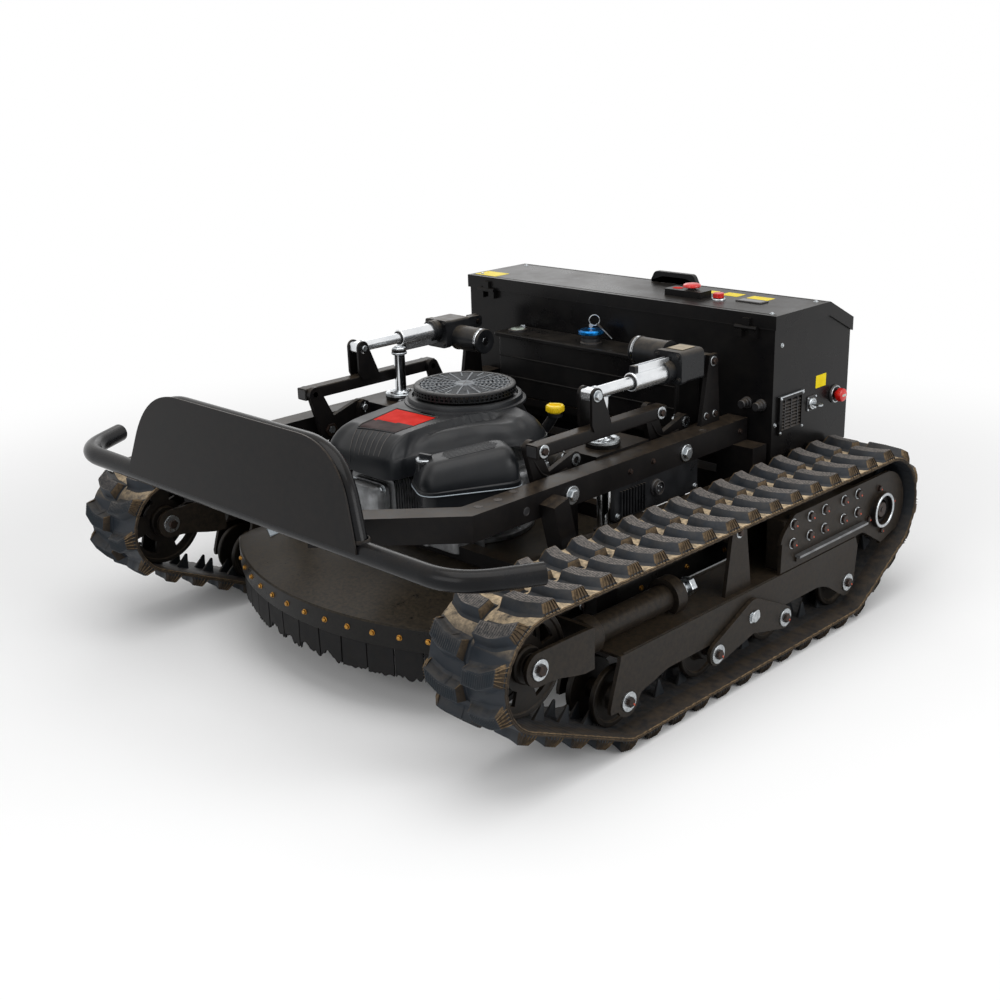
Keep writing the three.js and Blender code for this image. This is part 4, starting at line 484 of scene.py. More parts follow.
belt = {"centre": 545, "half": 90, "pitches": 41, "carcass": 8, "lugLength": 36, "lugTop": 27, "lugDraft": 8,
        "lugHalf": 88, "kink": 9, "ridges": 14, "groove": 5, "fingerX": 16, "bandHalf": 44, "ribStep": 6}
beltCircles = [(frontWheelAxis, 60), (rearWheelAxis, 60), (sprocketAxis, 110), (idlerAxis, 97)]
gearX = belt["centre"]


def tangentAngle(a, b):
    rise, run = b[0][1] - a[0][1], b[0][0] - a[0][0]
    return math.atan2(rise, run) - pi / 2 + math.asin((a[1] - b[1]) / math.hypot(rise, run))


def beltRuns(offset):
    runs = []
    for i, here in enumerate(beltCircles):
        after = beltCircles[(i + 1) % 4]
        start, end = tangentAngle(beltCircles[i - 1], here), tangentAngle(here, after)
        while end < start:
            end += 2 * pi
        radius = here[1] + offset
        outward = Vector((math.cos(end), math.sin(end)))
        a, b = Vector(here[0]) + outward * radius, Vector(after[0]) + outward * (after[1] + offset)
        runs += [("arc", here[0], radius, start, radius * (end - start)), ("line", a, b, end, (b - a).length)]
    return runs


def onRuns(runs, distance):
    rest = distance % sum(run[-1] for run in runs)
    for kind, a, b, angle, length in runs:
        if rest > length:
            rest -= length
        elif kind == "line":
            return a.lerp(b, rest / length), angle
        else:
            angle += rest / b
            return Vector(a) + Vector((math.cos(angle), math.sin(angle))) * b, angle
    return Vector(runs[0][1]), runs[0][3]


def beltPoint(runs, distance, across, height):
    point, angle = onRuns(runs, distance)
    return Vector((gearX + across, point.x + math.cos(angle) * height, max(point.y + math.sin(angle) * height, 0)))


def rigidPoint(runs, distance, along, across, height):
    point, angle = onRuns(runs, distance)
    y = point.x + math.cos(angle) * height - math.sin(angle) * along
    z = point.y + math.sin(angle) * height + math.cos(angle) * along
    return Vector((gearX + across, y, max(z, 0)))


def makeBelt():
    shape = bmesh.new()
    inner, outer = beltRuns(0), beltRuns(belt["carcass"])
    loop, outerLoop = sum(run[-1] for run in inner), sum(run[-1] for run in outer)
    steps = round(loop / belt["ribStep"])
    rings = []
    for i in range(steps):
        low = 0.9 if i % 3 == 0 else 0.0
        half = belt["half"] - (1.2 if i % 4 == 0 else 0.0)
        section = [(-half, 1.6), (-half, 3.2), (-half + 1.4, 3.8), (-half, 4.4), (-half, 6.4), (-half + 2, 8), (-6, 8),
                   (-3, 6.4), (3, 6.4), (6, 8), (half - 2, 8), (half, 6.4), (half, 4.4), (half - 1.4, 3.8), (half, 3.2),
                   (half, 1.6), (half - 2, low), (belt["bandHalf"], low), (-belt["bandHalf"], low), (-half + 2, low)]
        rings.append([shape.verts.new(beltPoint(inner, loop * i / steps, x, h)) for x, h in section])
    slots = [3, 3, 3, 3, 3, 0, 0, 0, 0, 0, 3, 3, 3, 3, 3, 3, 1, 2, 1, 3]
    for i, ring in enumerate(rings):
        after = rings[(i + 1) % steps]
        for k, slot in enumerate(slots):
            j = (k + 1) % len(slots)
            addFaces(shape, [(ring[k], ring[j], after[j], after[k])], slot)
    count = belt["pitches"]
    for i in range(count):
        for side, share in ((1, 0.25), (-1, 0.75)):
            makeLug(shape, outer, (i + share) / count * outerLoop, side)
            makeFinger(shape, inner, (i + 0.5) / count * loop, side)
    return shape


def lugOutline(length, inner, outer):
    # the half by the groove lies square to the belt, and the outer half slants to its edge
    kink, middle, reach = belt["kink"], (belt["lugHalf"] + belt["groove"]) / 2, length / 2
    return rounded([(inner, -kink - reach, 1.5), (middle + 3, -kink - reach, 12), (outer, kink - reach, 2),
                    (outer, kink + reach, 2), (middle - 4, -kink + reach, 12), (middle - 12, -kink + reach + 1.5, 2),
                    (inner, -kink + reach - 1, 1.5)], 3)


def makeLug(shape, runs, distance, side):
    length, top, groove = belt["lugLength"], belt["lugTop"], belt["groove"]
    half, shoulder = belt["lugHalf"], belt["lugHalf"] - belt["lugDraft"]
    foot = [[beltPoint(runs, distance - b, side * a, h) for a, b in lugOutline(size, groove - grow / 4, half - 1)]
            for size, grow, h in ((length + 14, 6, -0.6), (length + 10, 4, 0.5), (length + 4, 1, 1.5), (length, 0, 4))]
    body = [foot[-1], [rigidPoint(runs, distance, -b, side * a, 18)
                       for a, b in lugOutline(top + 1.5, groove + 2.5, shoulder)],
            [rigidPoint(runs, distance, -b, side * a, 19.3)
             for a, b in lugOutline(top - 1.5, groove + 3.8, shoulder - 1.4)]]
    addLoft(shape, foot, 2)
    made = addLoft(shape, body, 2)
    # the top is scuffed and carries a painted highlight, and the ends by the groove and by the edge are earthy
    for face in made[-1][0].link_faces:
        if len(face.verts) > 4:
            face.material_index = 4
    for face in {face for vert in made[0] for face in vert.link_faces if len(face.verts) == 4}:
        spots = [(v.co.x - gearX) * side for v in face.verts]
        if max(spots) - min(spots) < 14 and (min(spots) > shoulder - 4 or max(spots) < groove + 8):
            face.material_index = 3
    # moulded ridges across the top, in line with the belt
    kink, middle, reach = belt["kink"], (half + groove) / 2, top / 2 - 2.8
    for number in range(belt["ridges"]):
        a = groove + 7 + (shoulder - groove - 12) * number / (belt["ridges"] - 1)
        centre = -kink + 2 * kink * max(0, (a - middle) / (shoulder - middle))
        rings = [[rigidPoint(runs, distance, -centre - b, side * (a + way), h)
                  for way, h in ((-1.1, 18.9), (-0.5, 20), (0.5, 20), (1.1, 18.9))] for b in (-reach, reach)]
        addLoft(shape, rings, 4)
    # flutes run down the outer end and spread along the belt's edge
    for number in range(-2, 3):
        high, low = kink + number * 5.0, kink + number * 8.8
        rings = [[rigidPoint(runs, distance, -high - way, side * a, h) for way, a, h in
                  ((-2.1, shoulder - 4, 18.8), (0, shoulder + 2.2, 18.6), (2.1, shoulder - 4, 18.8))],
                 [beltPoint(runs, distance - (high + low) / 2 - way, side * a, h) for way, a, h in
                  ((-2.7, half - 9, 8), (0, half - 0.3, 8.5), (2.7, half - 9, 8))],
                 [beltPoint(runs, distance - low - way, side * a, h) for way, a, h in
                  ((-3.4, half - 8, -1.5), (0, half + 1.9, -1.5), (3.4, half - 8, -1.5))]]
        addLoft(shape, rings, 3)


def makeFinger(shape, runs, distance, side):
    rings = []
    for height, width, length in ((-1, 8, 30), (3, 7.4, 27), (20, 5, 13), (29, 3.2, 7), (31.5, 1.8, 4)):
        outline = oblong(-width / 2, -length / 2, width / 2, length / 2, width / 3, 2)
        rings.append([rigidPoint(runs, distance, b, side * belt["fingerX"] + a, -height) for a, b in outline])
    addLoft(shape, rings, 1)


makePair(makeBelt(), "rubberTrack", "frame", ["rubberEarthAndHighlight", "rubberInner", "rubber", "rubberFoot", "rubberScuffAndHighlight"],
         ["track"], edge=0, angle=38)
print("tracks")


# Wheels on the track: twin-disc road wheels, slotted idlers and carrier rollers

roadWheels = {"axes": (frontWheelAxis, (282, 92.5), (510, 92.5), rearWheelAxis), "radius": 59.6}
idlerWheel = {"disc": 88, "slotIn": 48, "slotOut": 74}


def discSide(radius, hub, bore, reach):
    # half section of a dished disc with a rolled rim, from the middle plane out
    return [(bore, 12), (hub, 12), (hub, 21.6), (radius - 2, 21.6), (radius, 23.4), (radius, 32),
            (radius - 1.6, 33.7), (radius - 9, 33.7), (radius - 12, 29), (hub + 8, 27), (hub + 4, 29),
            (hub, reach - 2), (hub - 2, reach), (bore, reach), (bore, 12)]


for number in range(4):
    shape = bmesh.new()
    at = alongX(*roadWheels["axes"][number], gearX)
    for way in (1, -1):
        profile = [(r, way * x) for r, x in discSide(roadWheels["radius"], 19, 10.6, 46)]
        addRound(shape, profile, at, 56)
        addRing(shape, 10.6, 17, way * 10, way * 13, at, 32)
    addRing(shape, 10.6, 19.4, -13, 13, at, 40)
    makePair(shape, f"roadWheel{number + 1}", f"wheel_{number + 1}", ["wheelCoat"], [f"road_wheel_{number + 1}"],
             edge=0.6)

shape = bmesh.new()
at = alongX(*idlerAxis, gearX)
slots = []
for number in range(4):
    middle = pi / 2 * number + pi / 4
    slots.append(circle(idlerWheel["slotOut"], (0, 0), 12, middle - 0.42, middle + 0.42)
                 + circle(idlerWheel["slotIn"], (0, 0), 12, middle + 0.36, middle - 0.36))
for low, high in ((24, 31.5), (-31.5, -24)):
    addPlate(shape, circle(idlerWheel["disc"], steps=80), low, high, at, slots)
for way in (1, -1):
    addRound(shape, [(85, way * 22), (94, way * 21.6), (96.5, way * 23.5), (96.5, way * 32), (94.6, way * 33.8),
                     (88, way * 33.8), (85, way * 31), (85, way * 22)], at, 80)
    addRound(shape, [(12.6, way * 43.5), (20, way * 43.5), (22, way * 42), (31, way * 42), (33.8, way * 39),
                     (34, way * 8), (12.6, way * 8), (12.6, way * 43.5)], at, 48)
makePair(shape, "idlerWheel", "idler", ["wheelCoat"], ["idler_wheel"], edge=0.6)

shape = bmesh.new()
addRound(shape, [(8.4, 22), (24, 22), (26, 24), (25.4, 30), (26, 36), (24, 38), (17, 38), (15, 35), (8.4, 35),
                 (8.4, 22)], alongX(*carrierAxis, gearX), 48)
makePair(shape, "carrierRoller", "carrier", ["wheelCoat"], ["carrier_roller"], edge=0.4)


# Drive sprocket: a toothed disc with rounded tooth roots, a ring of screws and a stepped hub

driveWheel = {"tip": 109.5, "root": 96, "teeth": 10, "half": 10.3, "soft": 4}


def makeSprocket():
    shape = bmesh.new()
    at, root, tip = alongX(*sprocketAxis, gearX), driveWheel["root"], driveWheel["tip"]
    corners = []
    for i in range(driveWheel["teeth"]):
        for share, radius in ((0.02, root), (0.2, root), (0.34, tip), (0.66, tip), (0.8, root)):
            turn = 2 * pi * (i + share) / driveWheel["teeth"]
            corners.append((radius * math.cos(turn), radius * math.sin(turn), driveWheel["soft"]))
    holes = [circle(9, (62 * math.cos(turn), 62 * math.sin(turn)), 20) for turn in turns(5)]
    addPlate(shape, rounded(corners, 4), -driveWheel["half"], driveWheel["half"], at, holes)
    for way in (1, -1):
        addRound(shape, [(0, way * 6), (46, way * 6), (46, way * 14), (40, way * 16), (40, way * 29),
                         (38.5, way * 30), (0, way * 30)], at, 48)
    for reach, radius, lip in ((72, 17.2, 1.5), (60, 20, 1)):
        addRod(shape, (gearX - 64, *sprocketAxis), (gearX + reach, *sprocketAxis), radius, 1, 40, lip)
    addRound(shape, [(0, 71), (5, 71), (6.5, 73), (0, 73)], at, 24, 1)
    return shape


makePair(makeSprocket(), "driveSprocket", "sprocket", ["gearCoat", "blackSteel"], ["drive_sprocket"], edge=0.6)
print("wheels")


# Track frame: folded channel beam with a leg at each end, carrier bracket, backing block and axle bolts

beam = {"half": 65, "plate": 8, "top": 183, "bottom": 112, "front": 5}
rearSheet = {"front": 499, "top": 300, "foot": 186, "innerFoot": 178, "cornerY": 545, "notch": 820, "tip": (905, 137),
             "eye": (905, 217), "eyeRadius": 83}


def beamOutline():
    return ([(beam["front"], beam["top"]), (4, 172), (-16, 112), (-23, 88), (-22, 78)]
            + circle(30, frontWheelAxis, 10, pi * 1.13, 2 * pi - 0.15)
            + [(64, 93), (78, 97), (96, 100.5), (118, 106.5), (142, beam["bottom"]), (645, beam["bottom"]),
               (668, 107), (690, 98), (712, 84), (735, 69)]
            + circle(30, rearWheelAxis, 10, pi * 1.24, 2 * pi - 0.05)
            + [(792, 88), (794, 110), (800, 160), (790, beam["top"])])


def rearOutline(foot):
    return rounded([(rearSheet["front"], foot, 3), (rearSheet["notch"], foot, 10), (*rearSheet["tip"], 12)], 5) \
        + circle(rearSheet["eyeRadius"], rearSheet["eye"], 26, -pi / 4, pi / 2) \
        + rounded([(rearSheet["cornerY"] + 60, 300, 0), (rearSheet["cornerY"], rearSheet["top"], 8), (502, 262, 16),
                   (rearSheet["front"], 246, 6)], 8)


def makeTrackFrame():
    shape = bmesh.new()
    side = alongX(0, 0, gearX)
    half, plate = beam["half"], beam["plate"]
    addPlate(shape, beamOutline(), half - plate, half, side)
    addPlate(shape, beamOutline(), -half, plate - half, side)
    addPlate(shape, [(5, 182.6), (9, 175), (764, 175), (764, 182.6)], 0.6 - half, half - 0.6, side)
    # lips folded inward along the beam's lower edge
    for low, high in ((half - 17, half - 1), (1 - half, 17 - half)):
        addPlate(shape, [(145, beam["bottom"]), (640, beam["bottom"]), (640, beam["bottom"] + 6),
                         (145, beam["bottom"] + 6)], low, high, side)
    for axis in (frontWheelAxis, rearWheelAxis):
        addRod(shape, (gearX - half, *axis), (gearX + half, *axis), 10, 2)
        for way in (1, -1):
            addMarkedBolt(shape, outward(way, *axis, gearX + way * half), bolts["axle"], 0.3 + axis[0])
    addRod(shape, (gearX - 74.5, *bogieAxis), (gearX + 79.3, *bogieAxis), 12, 1, 32, 1)
    addPlate(shape, rounded([(336.5, 178, 0), (423.5, 178, 0), (402, 313, 10), (358, 313, 10)]), 41, 49, side)
    addRod(shape, (gearX + 21, *carrierAxis), (gearX + 42, *carrierAxis), 8, 1)
    addBolt(shape, alongX(*carrierAxis, gearX + 49), (11, 1.6, 12, 5), (1, 2))
    addBlock(shape, (gearX + 18, 520, 178), (gearX + 56.7, 806, 290))
    addPlate(shape, rearOutline(rearSheet["innerFoot"]), -half, plate - half, side, [circle(21, sprocketAxis, 32)])
    # weld bead where the lid meets the side plate
    addTube(shape, bentPath([(gearX + half - 3, 14, 184), (gearX + half - 3, 300, 184), (gearX + half - 3, 492, 184)],
                            20), 1.4, sides=8)
    return shape


makePair(makeTrackFrame(), "trackFrame", "frame", ["gearCoat", "zinc", "blackSteel", "markPaint"], ["track_frame"],
         edge=1.0)


def makeSprocketPlate():
    shape = bmesh.new()
    middle = alongX(*sprocketAxis, gearX)
    addPlate(shape, rearOutline(rearSheet["foot"]), 57, 65, alongX(0, 0, gearX), [circle(22, sprocketAxis, 40)])
    # the ledge's top in bare aluminium grey is a painted highlight along the angle's top
    addBlock(shape, (gearX + 63, 553, 207), (gearX + 77, 818, 212), 5)
    addBlock(shape, (gearX + 64, 553, 198), (gearX + 69, 818, 208))
    # pressed bearing flange: black collar with a bright lip, and a dark throat
    addRound(shape, [(22, 58), (41.5, 58), (41.5, 65.6), (40.6, 66), (40, 68), (40, 76), (39, 77), (32.5, 77),
                     (31.5, 76), (31.5, 69), (22, 69), (22, 58)], middle, 56, 4)
    addRound(shape, [(32.4, 76), (38.6, 76), (38.8, 78), (37.6, 79), (33.6, 79), (32.4, 78), (32.4, 76)], middle, 56, 1)
    for turn in turns(4, 0.17):
        place = alongX(sprocketAxis[0] + 51 * math.cos(turn), sprocketAxis[1] + 51 * math.sin(turn), gearX + 65)
        addMarkedBolt(shape, place, bolts["collar"], turn * 2, (2, 2))
    for z in (281, 240):
        for y in (542, 605, 659, 733, 789):
            addMarkedBolt(shape, alongX(y, z, gearX + 65), bolts["plate"], y * 1.7 + z)
    return shape


makePair(makeSprocketPlate(), "sprocketPlate", "frame",
         ["gearCoat", "zinc", "blackSteel", "markPaint", "coat", "castAluminiumAndHighlight"], ["sprocket_plate"], edge=0.8)


def makeBogie():
    shape = bmesh.new()
    for axis, inset in zip(roadWheels["axes"][1:3], (0, 0.15)):
        arm = link(bogieAxis, 36 - inset, axis, 24)
        for low, high in ((66.5 + inset, 74.5 - inset), (inset - 74.5, -66.5 - inset)):
            addPlate(shape, arm, low, high, alongX(0, 0, gearX), [circle(12.5, bogieAxis, 28)])
        addRod(shape, (gearX - 66, *axis), (gearX + 66, *axis), 10, 2)
        for way in (1, -1):
            addMarkedBolt(shape, outward(way, *axis, gearX + way * 74.5), bolts["bogie"])
    return shape


makePair(makeBogie(), "bogieRocker", "bogie", ["gearCoat", "zinc", "blackSteel", "markPaint"], ["bogie_rocker"],
         edge=1.0)

# pivot cap of the bogie: an oval zinc nut with a slot across it
shape = bmesh.new()
at = alongX(*bogieAxis, gearX)
addPlate(shape, oblong(-17, -11, 17, 11, 9), 74.7, 76.2, at)
addPlate(shape, oblong(-14, -8.5, 14, 8.5, 8), 76, 79.2, at, [oblong(-9, -1.8, 9, 1.8, 1)])
makePair(shape, "bogiePivotCap", "frame", ["zinc"], edge=0.5)


springZ = 212                      # height of the rod and cylinder that push the fork forward


def makeFork():
    shape = bmesh.new()
    outline = ([(-65, 185), (-65, 263), (-120, 264.5)] + circle(31, idlerAxis, 20, pi / 2 - 0.1, pi * 1.5)
               + [(-180, 203), (-150, 199), (-115, 190), (-90, 185)])
    for low, high in ((57, 65), (-65, -57)):
        addPlate(shape, outline, low, high, alongX(0, 0, gearX))
    addBlock(shape, (gearX - 64.5, -73, 185), (gearX + 64.5, -65, 263))
    addRod(shape, (gearX - 65, *idlerAxis), (gearX + 65, *idlerAxis), 12, 2)
    for way in (1, -1):
        addBolt(shape, outward(way, *idlerAxis, gearX + way * 65), (19, 3.2, 19, 6.6), (1, 2))
    addRod(shape, (gearX, -73, springZ), (gearX, 60, springZ), 14.9, 3, 40, 1)
    return shape


makePair(makeFork(), "idlerFork", "fork", ["gearCoat", "zinc", "blackSteel", "chrome"], ["idler_fork"], edge=1.0)


def makeCylinder():
    shape = bmesh.new()
    place = alongY(gearX, springZ)
    addRound(shape, [(15.7, -34), (33, -34), (36, -31), (36, -4), (34, -2), (26.2, -1), (26.2, 6), (25.8, 8),
                     (25.8, 205), (15.7, 205), (15.7, -34)], place, 48)
    addRound(shape, [(0, 203), (26, 203), (26, 236), (22, 238.5), (11, 239), (0, 239)], place, 48)
    collar = [point for point in circle(38, (gearX, springZ), 60) if point[1] > 184]
    low = sorted(collar, key=lambda p: math.atan2(p[1] - 184, p[0] - gearX))
    addPlate(shape, [(x, -z) for x, z in low], 206, 234, alongY())
    addBlock(shape, (gearX - 3, 207, 247), (gearX + 3, 233, 249.6))
    addRod(shape, (gearX, 236, springZ), (gearX, 292, springZ), 10.6, 1, 28, 1)
    for y in (244, 274):
        addLoft(shape, [[Vector((gearX + r * math.cos(pi * i / 3), y + s, springZ + r * math.sin(pi * i / 3)))
                         for i in range(6)] for r, s in ((17.8, 0), (19, 1.4), (19, 15), (17.8, 16.4))], 1)
    return shape


makePair(makeCylinder(), "tensionCylinder", "frame", ["gearCoat", "zinc"], ["tension_cylinder"], edge=0.7)

# drive motor: gear flange with screws, ribbed gear case and a finned can behind it
shape = bmesh.new()
place = outward(-1, *sprocketAxis, gearX - 65.3)
addRound(shape, [(0, 0), (62, 0), (64, 2), (64, 12), (62, 14), (43, 14), (42, 18), (42, 60), (45, 64), (51, 66),
                 (53, 68), (53, 72), (51, 74)]
         + [p for k in range(6) for p in ((51, 76 + 8 * k), (53.6, 77 + 8 * k), (53.6, 81 + 8 * k),
                                          (51, 82 + 8 * k))] + [(52, 126), (54, 128), (54, 137), (51, 140), (0, 140)],
         place, 64)
for turn in turns(8, 0.2):
    addBolt(shape, place @ alongZ(54 * math.cos(turn), 54 * math.sin(turn), 14), (0, 0, 9, 5), (1, 1))
makePair(shape, "driveMotor", "frame", ["castAluminiumAndHighlight", "blackSteel"], ["drive_motor"], edge=0.6)
print("track frames")


# Bumper tube with the guard hoop, and the guard plate behind the hoop

guard = {"lowHalf": 352, "lowY": -340, "lowZ": 414, "highHalf": 290, "highY": -318, "highZ": 588, "corner": 105,
         "tube": 17, "plateFront": 19}
bumper = {"tube": 19, "half": 566, "endHalf": 635.2, "endY": -214.4}
guardHeight = math.hypot(guard["highY"] - guard["lowY"], guard["highZ"] - guard["lowZ"])
leanedBack = Matrix.Translation((0, guard["lowY"], guard["lowZ"])) @ Matrix.Rotation(
    -math.atan2(guard["highY"] - guard["lowY"], guard["highZ"] - guard["lowZ"]), 4, "X")

shape = bmesh.new()
half, endHalf, endY, level = bumper["half"], bumper["endHalf"], bumper["endY"], guard["lowZ"]
corners = [(-endHalf, endY, level), (-half, guard["lowY"], level), (half, guard["lowY"], level), (endHalf, endY, level)]
addTube(shape, bentPath(corners, 70, 16), bumper["tube"], sides=40)
top = guardHeight - guard["tube"]
hoop = bentPath([(-335, 0, 0), (-273, 0, top), (273, 0, top), (335, 0, 0)], 88, 16)
addTube(shape, [leanedBack @ point for point in hoop], guard["tube"], sides=40)
for sign in (1, -1):
    # weld collars where the hoop meets the bumper, and flat caps on its ends
    foot = leanedBack @ Vector((sign * 334, 0, 12))
    addRound(shape, [(16, 4), (20, 4), (19, 7.5), (17.2, 10), (16, 10), (16, 4)], Matrix.Translation(foot) @ alongZ(),
             32, 1)
    way = Vector((sign * 70, 127, 0)).normalized()
    end = Vector((sign * endHalf, endY, level))
    addRod(shape, end - way * 2, end + way * 0.5, 15.5, 1, 32, 0.6)
makePiece(shape, "bumperBar", "frame", ["tubeCoat", "coat"], ["bumper_bar"], edge=0.6)

shape = bmesh.new()
lowHalf, highHalf, corner = guard["lowHalf"], guard["highHalf"], guard["corner"]
outline = rounded([(-lowHalf, 0, 0), (lowHalf, 0, 0), (highHalf, guardHeight, corner),
                   (-highHalf, guardHeight, corner)], 16)
flat = leanedBack @ Matrix(((1, 0, 0, 0), (0, 0, -1, 0), (0, 1, 0, 0), (0, 0, 0, 1)))
addPlate(shape, outline, guard["plateFront"], guard["plateFront"] + 4, flat)
# light bead of weld metal that shows between the hoop and the plate
addTube(shape, [leanedBack @ Vector((x * 0.957, -guard["plateFront"], z)) for x, _, z in bentPath(
    [(-331, 0, 22), (-272, 0, top - 16), (272, 0, top - 16), (331, 0, 22)], 84, 16)], 1.1, 1, 8)
makePiece(shape, "guardPlate", "frame", ["coat", "zinc"], ["guard_plate"], edge=0.8)
print("guard")


# Main frame: the steelwork keeps its own shape, and gets round bosses, flanges, bolts, and black discs in its holes
# that are painted shade

dressNode("main_frame", "coat", 2.2, 3)
postAt = alongZ(guideX, guideY)
pivots = ((121, 405), (470, 405))

shape = bmesh.new()
# flange boss under each chrome post: a machined ring, screwed down, with a polished lip
addRound(shape, [(13.3, 437.5), (34.4, 437.5), (34.4, 441), (35.6, 442), (35.6, 447), (13.3, 447), (13.3, 437.5)],
         postAt, 64)
addRound(shape, [(13.3, 446.8), (35.4, 446.8), (35.4, 452), (34.6, 453), (27, 453.4), (25.4, 452.6), (19.4, 452.6),
                 (18.6, 454.6), (17.4, 455.4), (14, 455.4), (13.3, 454.6), (13.3, 446.8)], postAt, 64, 1)
addRound(shape, [(13.2, 452.4), (16.2, 452.4), (16.2, 455.8), (15.2, 456.6), (13.2, 456.6), (13.2, 452.4)], postAt,
         48, 3)
for turn in turns(4, 0.4):
    addBolt(shape, alongZ(guideX + 22.6 * math.cos(turn), guideY + 22.6 * math.sin(turn), 452.4), (0, 0, 5.4, 2.2),
            (2, 2))
makePair(shape, "guideBoss", "frame", ["coat", "zinc", "blackSteel", "chrome"], edge=0.5)

shape = bmesh.new()
# holes through the rails' walls, drawn as black discs of painted shade, and the bolts on their sides
shadedHole = [(0, -0.4), (8, -0.4), (8.6, 0.4), (6.6, 0.7), (6.2, 0.1), (0, 0.1)]
for x, y in ((367, -94), (367, -45), (356, 6), (381, 545)):
    addRound(shape, shadedHole, alongZ(x, y, 433), 28, 3)
addRound(shape, shadedHole, alongX(-1, 405, 395), 28, 3)
for y, z in ((293, 408), (364, 412), (660, 408)):
    addBolt(shape, alongX(y, z, 395), (6.4, 0.8, 8, 3.6), (2, 2))
for y in (92, 152, 560, 620):
    for z in (140, 205, 270):
        if y < 200 or z != 205:
            addBolt(shape, alongX(y, z, 446), (9, 1.5, 11, 5), (1, 2))
# bolts through the gusset posts and the cross beams' pads
for y in (723, 785):
    for x in (408, 434):
        addBolt(shape, alongZ(x, y, 315), (0, 0.1, 12, 4), (1, 2))
# gusset post stiffeners with their screws
for y, z in ((584, 452), (614, 452)):
    addBolt(shape, alongX(y, z, 361.3), (8, 1.4, 10, 4.4), (1, 2))
addBolt(shape, alongX(606, 566, 361.3), (11, 1.6, 14, 5.4), (1, 2))
makePair(shape, "frameFittings", "frame", ["coat", "zinc", "blackSteel", "blackRubberAndShade"], edge=0.5)

# motor controller under the rail: a ribbed case with a round connector
controller = {"inner": 384, "outer": 394.6, "front": 246, "rear": 512, "low": 316, "high": 383.4}
inner, outer, front, rear, low, high = controller.values()
shape = bmesh.new()
addPlate(shape, oblong(front, low, rear, high, 4, 5, 1), inner, outer, alongX())
for number in range(9):
    y = front + 16 + number * 9
    addBlock(shape, (outer - 0.4, y, low + 6), (outer + 5, y + 3, high - 8))
connector = alongX(374, 356, outer)
addRound(shape, [(0, -1), (17, -1), (17, 3), (14.6, 4), (14.6, 11), (13.4, 12), (12, 12), (12, 8), (0, 8)], connector,
         40, 1)
for turn in turns(3):
    addRod(shape, connector @ Vector((6 * math.cos(turn), 6 * math.sin(turn), 7)),
           connector @ Vector((6 * math.cos(turn), 6 * math.sin(turn), 10.6)), 1.7, 2, 14, 0.4)
for y in (front + 8, rear - 8):
    addBolt(shape, alongX(y, 326, outer), (6, 0.8, 8, 3.6), (2, 2))
makePair(shape, "motorController", "frame", ["blackCast", "blackRubberAndShade", "zinc"], edge=0.6)


# Lift: bell cranks, tie bars, electric cylinders and the deck carriage with its two chrome posts

lift = {"lean": math.radians(21.8), "topArm": 91.5, "lowerArm": 94.25, "low": 316, "high": 328}


def pinPlaces(pivot):
    y, z = pivot
    lean = lift["lean"]
    return ((y - lift["topArm"] * math.sin(lean), z + lift["topArm"] * math.cos(lean)),
            (y + lift["lowerArm"] * math.cos(lean), z + lift["lowerArm"] * math.sin(lean)))


for place, pivot in zip(("front", "rear"), pivots):
    top, low = pinPlaces(pivot)
    shape = bmesh.new()
    addPlate(shape, link(pivot, 24, top, 16), lift["low"], lift["high"], alongX())
    addPlate(shape, link(pivot, 24, low, 16), lift["low"] + 0.2, lift["high"] - 0.2, alongX())
    addRod(shape, (327, *pivot), (344.7, *pivot), 16, 0, 40, 0.8)
    addRod(shape, (309, *pivot), (398.8, *pivot), 9, 1, 32, 0.8)
    addRound(shape, [(9, 309), (15, 309), (15, 315), (13.6, 316), (9, 316)], alongX(*pivot), 6, 2)
    addBolt(shape, alongX(*pivot, 395.4), (18, 3.4, 21, 6.4), (1, 1))
    addRod(shape, (316, *top), (358.5, *top), 7, 1, 28, 0.6)
    addBolt(shape, alongX(*top, 358.4), (13, 1.8, 13.6, 5), (1, 2))
    addRod(shape, (296, *low), (317, *low), 7, 1, 28, 0.8)
    addRound(shape, [(7, 328), (12, 328), (12, 330.4), (7, 330.4)], alongX(*low), 28, 1)
    # cotter through the pin
    addRod(shape, (298.4, low[0], low[1] - 11), (298.4, low[0], low[1] + 11), 1.4, 1, 10)
    # bead round the corner between the two arms
    addTube(shape, bentPath([(326, top[0] + 3, top[1] - 22), (329.4, pivot[0] - 8, pivot[1] + 26),
                             (329.4, pivot[0] + 20, pivot[1] + 18), (329, low[0] - 26, low[1] - 12)], 14), 2.2,
            sides=10)
    makePair(shape, f"liftCrank{place.title()}", f"crank_{place}", ["coat", "zinc", "blackSteel"],
             [f"lift_crank_{place}"], edge=0.9)

tie = {"x": 343, "pin": (234, 566)}
frontTop, rearTop = pinPlaces(pivots[0])[0], pinPlaces(pivots[1])[0]
shape = bmesh.new()
end, start, level = rearTop[0] + 17, frontTop[0] - 17, frontTop[1]
